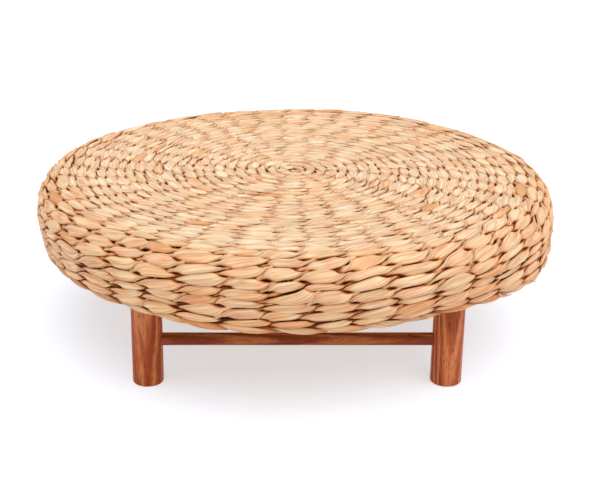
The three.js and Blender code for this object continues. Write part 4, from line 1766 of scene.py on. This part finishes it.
@dataclass
class SeatBase:
    """What carries the drum: the round board, and the cane strip that holds the stakes' tails to it."""

    ease: float = 1.0  # the rounding of the board's edges
    board_clear: float = 2.5  # how much smaller the round board is than the frame's corners reach
    segments: int = 160
    strip_width: float = 14.0
    strip_clear: float = 1.3  # how far its outer edge lies inside the frame's strip
    strip_gap: float = 0.004  # half of the slit where its ends meet, in radians
    strip_steps: int = 150  # its points
    head_diameter: float = 6.4  # a tack's head
    head_height: float = 1.2  # how high the head is domed
    shank: float = 1.8  # the diameter of a tack's shank
    shank_share: float = 0.8  # the part of a tack's length before its point

    def build_board(self, material: Material) -> None:
        """Make the board.

        Args:
            material: its material.
        """
        low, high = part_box("seat_board")
        radius = high.x - self.board_clear * MM
        corners = [(0.0, low.z), (radius, low.z), (radius, high.z), (0.0, high.z)]
        mesh = turned_mesh("ply_seat_board", rounded(corners, self.ease * MM), self.segments)
        dress_mesh(mesh, Slot.PLYWOOD, material, "seat_board")

    def build_strip(self, material: Material, sweep: ReedSweep) -> None:
        """Make the strip as one length of cane bent round, its two ends cut to meet.

        Args:
            material: the cane's material.
            sweep: what gives the strip its section.
        """
        low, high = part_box("tail_strip")
        half = self.strip_width / 2
        radius = high.x / MM - half - self.strip_clear
        turn = np.linspace(self.strip_gap, 2 * math.pi - self.strip_gap, self.strip_steps)
        centre = round_axis(radius * MM, turn, np.full_like(turn, (low.z + high.z) / 2))
        run = ReedRun.over(centre, -UPWARDS, half * MM, (high.z - low.z) / 2, 0.5, 0.0, 0.0)
        piece = sweep.sweep("cane_strip", [run], material, fold_depth=0.12, points=16)
        finished(piece, Slot.STAKE_REED, None, "tail_strip")

    def build_tacks(self, material: Material) -> None:
        """Make the tacks, one at each node of the frame.

        Args:
            material: their material.
        """
        boxes = {f"strip_tack_{n:02d}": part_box(f"strip_tack_{n:02d}") for n in range(1, 15)}
        low, high = boxes["strip_tack_01"]
        length = high.z - low.z
        head = self.head_diameter / 2 * MM
        top = self.head_height * MM
        shank = self.shank / 2 * MM
        outline = [(head * math.sin(a), top * (1 - math.cos(a))) for a in np.linspace(0, math.pi / 2, 6)]
        outline += [(shank, top + 0.1 * MM), (shank, length * self.shank_share), (0.0, length)]
        place_fasteners("strip_tacks_domed", outline, boxes, Slot.STEEL, material)


def place_fasteners(name: str, outline: Outline, boxes: Boxes, slot: Slot, material: Material,
                    cutter: Object | None = None, segments: int = 20, seed: int = 3) -> None:
    """Set one turned fastener at every node of a kind, with Geometry Nodes.

    Args:
        name: the piece's name.
        outline: the fastener's outline from its head, which is down, to its point.
        boxes: the frame's nodes with their corners.
        slot: the slot of the finish.
        material: the material.
        cutter: a shape that is cut out of the head.
        segments: stretches round a fastener.
        seed: the seed of their turns.
    """
    shape = new_object(f"{name}_shape", turned_mesh(f"{name}_shape", outline, segments))
    if cutter is not None:
        recess = shape.modifiers.new("recess", "BOOLEAN")
        recess.object = cutter
        recess.operation = "DIFFERENCE"
        # The cutter's two bars cross each other
        recess.use_self = True
        applied(shape)
    smooth_by_angle(shape.data)
    mesh = bpy.data.meshes.new(name)
    places = [((low.x + high.x) / 2, (low.y + high.y) / 2, low.z) for low, high in boxes.values()]
    mesh.from_pydata(places, [], [])
    tree, add, given = new_group(f"{name}_tree", {"Places": Input.GEOMETRY, "Fastener": Input.OBJECT,
                                                  "Seed": Input.COUNT, "Material": Input.MATERIAL})
    pattern = add(Kind.OBJECT, {"Object": given["Fastener"]}).outputs["Geometry"]
    spin = add(Kind.RANDOM, {"Max": 2 * math.pi, "Seed": given["Seed"]}, data_type="FLOAT")
    points = add(Kind.MESH_TO_POINTS, {"Mesh": given["Places"]})
    turn = add(Kind.COMBINE, {"Z": spin})
    set_in = add(Kind.INSTANCES, {"Points": points, "Instance": pattern, "Rotation": turn})
    end_group(add, set_in, given["Material"])
    piece = made_by(tree, new_object(name, mesh), {"Fastener": shape, "Seed": seed, "Material": material})
    bpy.data.objects.remove(shape)
    finished(piece, slot, None, *boxes)


@dataclass
class UnderFrame:
    """The legs, stretchers and battens, with the wedges and screws that hold them."""

    foot_ease: float = 2.0  # the rounding of a foot's edge
    segments: int = 72
    shoulder: float = 104.0  # the height at which a leg's tenon begins
    shoulder_ease: float = 0.6  # how much the shoulder's edge is eased
    tenon_diameter: float = 22.0
    stretcher_ease: float = 0.8  # the rounding of a stretcher's ends
    stretcher_segments: int = 48  # stretches round it
    batten_ease: float = 1.4  # the rounding of a batten's edges
    head_diameter: float = 8.4  # a screw's head
    head_height: float = 2.9  # how high its cone is
    head_edge: float = 0.3  # the thickness of its rim
    screw_diameter: float = 4.0  # the screw's shank
    shank_share: float = 0.75  # the part of a screw's length before its point
    # The length, width and depth of each bar of the crossed recess, half of which lies in the head
    recess: Triple = (4.4, 1.1, 2.6)

    def leg_outline(self, radius: float, bottom: float, end: float) -> Outline:
        """Draw a leg's outline: the eased foot, the shaft and the tenon.

        Args:
            radius: the leg's radius in metres.
            bottom: the height of its foot in metres.
            end: the height of its tenon's end in metres.

        Returns:
            The outline, in metres.
        """
        foot = self.foot_ease * MM
        tenon = self.tenon_diameter / 2 * MM
        top = self.shoulder * MM
        ease = self.shoulder_ease * MM
        outline = [(0.0, bottom), (radius - foot, bottom)]
        outline += [(radius - foot + foot * math.sin(a), bottom + foot * (1 - math.cos(a)))
                    for a in np.linspace(0.2, math.pi / 2, 6)]
        outline += [(radius, top * share) for share in (0.25, 0.5, 0.75)]
        return outline + [(radius, top - ease), (radius - ease, top), (tenon, top), (tenon, end), (0.0, end)]

    def build_legs(self, material: Material) -> None:
        """Make the four turned legs.

        Args:
            material: their material.
        """
        for corner in ("front_left", "front_right", "rear_left", "rear_right"):
            low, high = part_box(f"leg_{corner}")
            outline = self.leg_outline((high.x - low.x) / 2, low.z, high.z)
            mesh = turned_mesh(f"turned_leg_{corner}", outline, self.segments)
            centre = (low + high) / 2
            for vertex in mesh.vertices:
                vertex.co.x += centre.x
                vertex.co.y += centre.y
            dress_mesh(mesh, Slot.LEG_WOOD, material, f"leg_{corner}")

    def build_stretchers(self, finish: WoodFinish) -> None:
        """Make the four stretchers, with their fibres along each.

        Args:
            finish: their wood, darkened as painted shade.
        """
        sideways = finish.material(Grain.SIDEWAYS)
        lengthways = finish.material(Grain.FRONT_TO_BACK)
        for side in ("front", "rear", "left", "right"):
            low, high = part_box(f"stretcher_{side}")
            centre = (low + high) / 2
            size = high - low
            along_x = size.x > size.y
            half = max(size.x, size.y) / 2
            radius = size.z / 2
            corners = [(0.0, -half), (radius, -half), (radius, half), (0.0, half)]
            outline = rounded(corners, self.stretcher_ease * MM, 3)
            mesh = turned_mesh(f"round_stretcher_{side}", outline, self.stretcher_segments)
            for vertex in mesh.vertices:
                x, y, z = vertex.co
                vertex.co = centre + (Vector((z, y, -x)) if along_x else Vector((x, z, -y)))
            dress_mesh(mesh, Slot.LEG_WOOD, sideways if along_x else lengthways, f"stretcher_{side}")

    def build_battens(self, material: Material) -> None:
        """Make the battens from the frame's, with their edges eased.

        Args:
            material: their material.
        """
        for side in ("left", "right"):
            body = bmesh.new()
            body.from_mesh(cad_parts[f"batten_{side}"].data)
            bmesh.ops.remove_doubles(body, verts=body.verts, dist=1e-6)
            bmesh.ops.dissolve_limit(body, angle_limit=math.radians(1.0), verts=body.verts, edges=body.edges)
            name = f"eased_batten_{side}"
            piece = new_object(name, mesh_of(name, body))
            bevel = piece.modifiers.new("ease", "BEVEL")
            bevel.width = self.batten_ease * MM
            bevel.segments = 3
            bevel.limit_method = "ANGLE"
            bevel.angle_limit = math.radians(50.0)
            smooth_by_angle(applied(piece).data)
            finished(piece, Slot.BATTEN_WOOD, material, f"batten_{side}")

    def build_screws(self, material: Material) -> None:
        """Make the screws, with a crossed recess in each head.

        Args:
            material: their material.
        """
        boxes = {f"board_screw_{n}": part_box(f"board_screw_{n}") for n in range(1, 9)}
        low, high = boxes["board_screw_1"]
        length = high.z - low.z
        head = self.head_diameter / 2 * MM
        edge = self.head_edge * MM
        shank = self.screw_diameter / 2 * MM
        outline = [(0.0, 0.0), (head - edge, 0.0), (head, edge), (shank, self.head_height * MM),
                   (shank, length * self.shank_share), (0.0, length)]
        cross = bmesh.new()
        bar_length, bar_width, depth = self.recess
        for sizes in ((bar_length, bar_width, depth), (bar_width, bar_length, depth)):
            made = bmesh.ops.create_cube(cross, size=1.0)["verts"]
            bmesh.ops.scale(cross, vec=Vector(sizes) * MM, verts=made)
        cutter = new_object("cross_recess", mesh_of("cross_recess", cross))
        place_fasteners("countersunk_screws", outline, boxes, Slot.STEEL, material, cutter)
        bpy.data.objects.remove(cutter)

    def dress_wedges(self, material: Material) -> None:
        """Give the frame's own wedges their wood.

        Args:
            material: the wood.
        """
        for name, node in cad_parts.items():
            if not name.startswith("leg_wedge_"):
                continue
            node.data.materials.clear()
            node.data.materials.append(material)


@dataclass
class Studio:
    """A plain pale floor under soft light, and the camera at the photograph's viewing angle."""

    camera_place: Triple = (-0.0560, -1.4594, 0.6606)  # where the camera stands, in metres
    pitch: float = 21.34
    focal_share: float = 2.18213  # the focal length as a share of the picture's width
    shift: float = 0.0897  # how far the picture is moved sideways, as a share of its width
    sensor: float = 36.0
    surround: float = 0.41  # the strength of the light from all round
    floor_half: float = 6.0  # half of the floor's side, in metres
    floor_colour: str = "f3f3f4"
    seen_floor: str = "d4dbeb"  # its colour for the eye
    floor_glow: str = "fafafc"  # the colour in which it glows for the eye
    floor_lift: float = 0.555  # how strongly it does
    sun_aim: Triple = (-0.18, 0.35, -1.0)  # the direction of the broad light from above
    sun_spread: float = 70.0  # the angle that it comes from, in degrees
    sun_power: float = 2.25  # its strength
    # Where the right fill lamp stands, in metres. The left one mirrors it.
    fill_place: Triple = (1.5, -0.45, 0.32)
    fill_aim: Triple = (0.0, 0.0, 0.14)  # the point that both face, in metres
    fill_size: float = 0.9  # the side of each, in metres
    fill_power: float = 2.6  # the power of each, in watts

    def build_camera(self) -> None:
        """Set the camera up."""
        camera = bpy.data.cameras.new("photo_view")
        camera.sensor_fit = "HORIZONTAL"
        camera.sensor_width = self.sensor
        camera.lens = self.sensor * self.focal_share
        camera.shift_x = self.shift
        holder = new_object("photo_view", camera)
        holder.location = self.camera_place
        holder.rotation_euler = (math.radians(90.0 - self.pitch), 0.0, 0.0)
        bpy.context.scene.camera = holder

    def seen_directly(self, add: Adder) -> Node:
        """Tell what the eye sees from the light that falls on things.

        Args:
            add: the function that adds a node.

        Returns:
            A node with 1 for rays from the camera and for what metal or glass shows, and 0 for other rays.
        """
        path = add(Kind.LIGHT_PATH).outputs
        either = add(Kind.MATH, [path["Is Camera Ray"], path["Is Glossy Ray"]], operation="MAXIMUM")
        return add(Kind.MATH, [either, path["Is Transmission Ray"]], operation="MAXIMUM")

    def build_floor(self) -> None:
        """Lay the floor, white where nothing shades it."""
        half = self.floor_half
        mesh = bpy.data.meshes.new("floor")
        corners = [(-half, -half, 0), (half, -half, 0), (half, half, 0), (-half, half, 0)]
        mesh.from_pydata(corners, [], [(0, 1, 2, 3)])
        material, add, dress = new_material("pale_paper_floor")
        seen = self.seen_directly(add)
        colour = add(Kind.MIX, {"Factor": seen, "A": linear(self.floor_colour), "B": linear(self.seen_floor)},
                     data_type="RGBA")
        lift = add(Kind.MATH, [seen, self.floor_lift], operation="MULTIPLY")
        dress({"Base Color": colour, "Roughness": 0.9, "Specular IOR Level": 0.1,
               "Emission Color": linear(self.floor_glow), "Emission Strength": lift})
        mesh.materials.append(material)
        floor = new_object("floor", mesh)

    def build_light(self) -> None:
        """Light the stool softly: from all round, by one broad sun above and by a fill lamp to each side."""
        world = bpy.data.worlds.new("studio")
        bpy.context.scene.world = world
        world.use_nodes = True
        world.node_tree.nodes.clear()
        add = partial(add_node, world.node_tree)
        around = add(Kind.BACKGROUND, {"Color": linear("ffffff"), "Strength": self.surround})
        white = add(Kind.BACKGROUND, {"Color": linear("ffffff"), "Strength": 1.0})
        mixed = add(Kind.MIX_SHADER, {"Fac": self.seen_directly(add), 1: around, 2: white})
        add(Kind.WORLD, {"Surface": mixed})
        self.hang_lamp("overhead", "SUN", (0.0, 0.0, 0.0), self.sun_aim, angle=math.radians(self.sun_spread),
                       energy=self.sun_power)
        x, y, z = self.fill_place
        for name, place in (("left_fill", (-x, y, z)), ("right_fill", (x, y, z))):
            self.hang_lamp(name, "AREA", place, self.fill_aim, size=self.fill_size, energy=self.fill_power)

    def hang_lamp(self, name: str, kind: str, place: Triple, aim: Triple, **settings: float) -> None:
        """Hang one lamp.

        Args:
            name: the lamp's name.
            kind: the kind of light.
            place: where it hangs, in metres.
            aim: the point that it faces.
            settings: the light's own properties.
        """
        lamp = bpy.data.lights.new(name, kind)
        for key, value in settings.items():
            setattr(lamp, key, value)
        holder = new_object(name, lamp)
        holder.location = place
        holder.rotation_euler = (Vector(aim) - Vector(place)).to_track_quat("-Z", "Y").to_euler()

    def build(self) -> None:
        """Set up the camera, the floor and the light."""
        bpy.context.scene.view_settings.view_transform = "Standard"
        self.build_camera()
        self.build_floor()
        self.build_light()


def main() -> None:
    """Build the stool's pieces in order and dress them."""
    logging.basicConfig(level=logging.INFO, format="%(message)s")
    Studio().build()
    profile = SeatProfile()
    layout = StakeLayout()
    sweep = ReedSweep()
    stake_reed = STAKE_REED.material()
    border_reed = BORDER_REED.material()
    TwinedWeave(profile, RowSpiral(profile), layout, sweep).build(WEAVE_REED.material())
    SeatStakes(profile, layout, sweep).build(stake_reed)
    RolledBorder(profile, layout, sweep).build(border_reed)
    StrayEnds(profile, sweep).build(border_reed)
    StuffedPad(profile).build(PAD_STRAW.material())
    steel = PLATED_STEEL.material()
    base = SeatBase()
    base.build_board(BOARD_PLYWOOD.material())
    base.build_strip(CANE.material(), sweep)
    base.build_tacks(steel)
    under = UnderFrame()
    under.build_legs(STAINED_HARDWOOD.material(Grain.UPRIGHT))
    under.build_stretchers(SHADED_STRETCHER_HARDWOOD)
    beech = BARE_HARDWOOD.material(Grain.FRONT_TO_BACK)
    under.build_battens(beech)
    under.dress_wedges(beech)
    under.build_screws(steel)


if __name__ == "__main__":
    main()
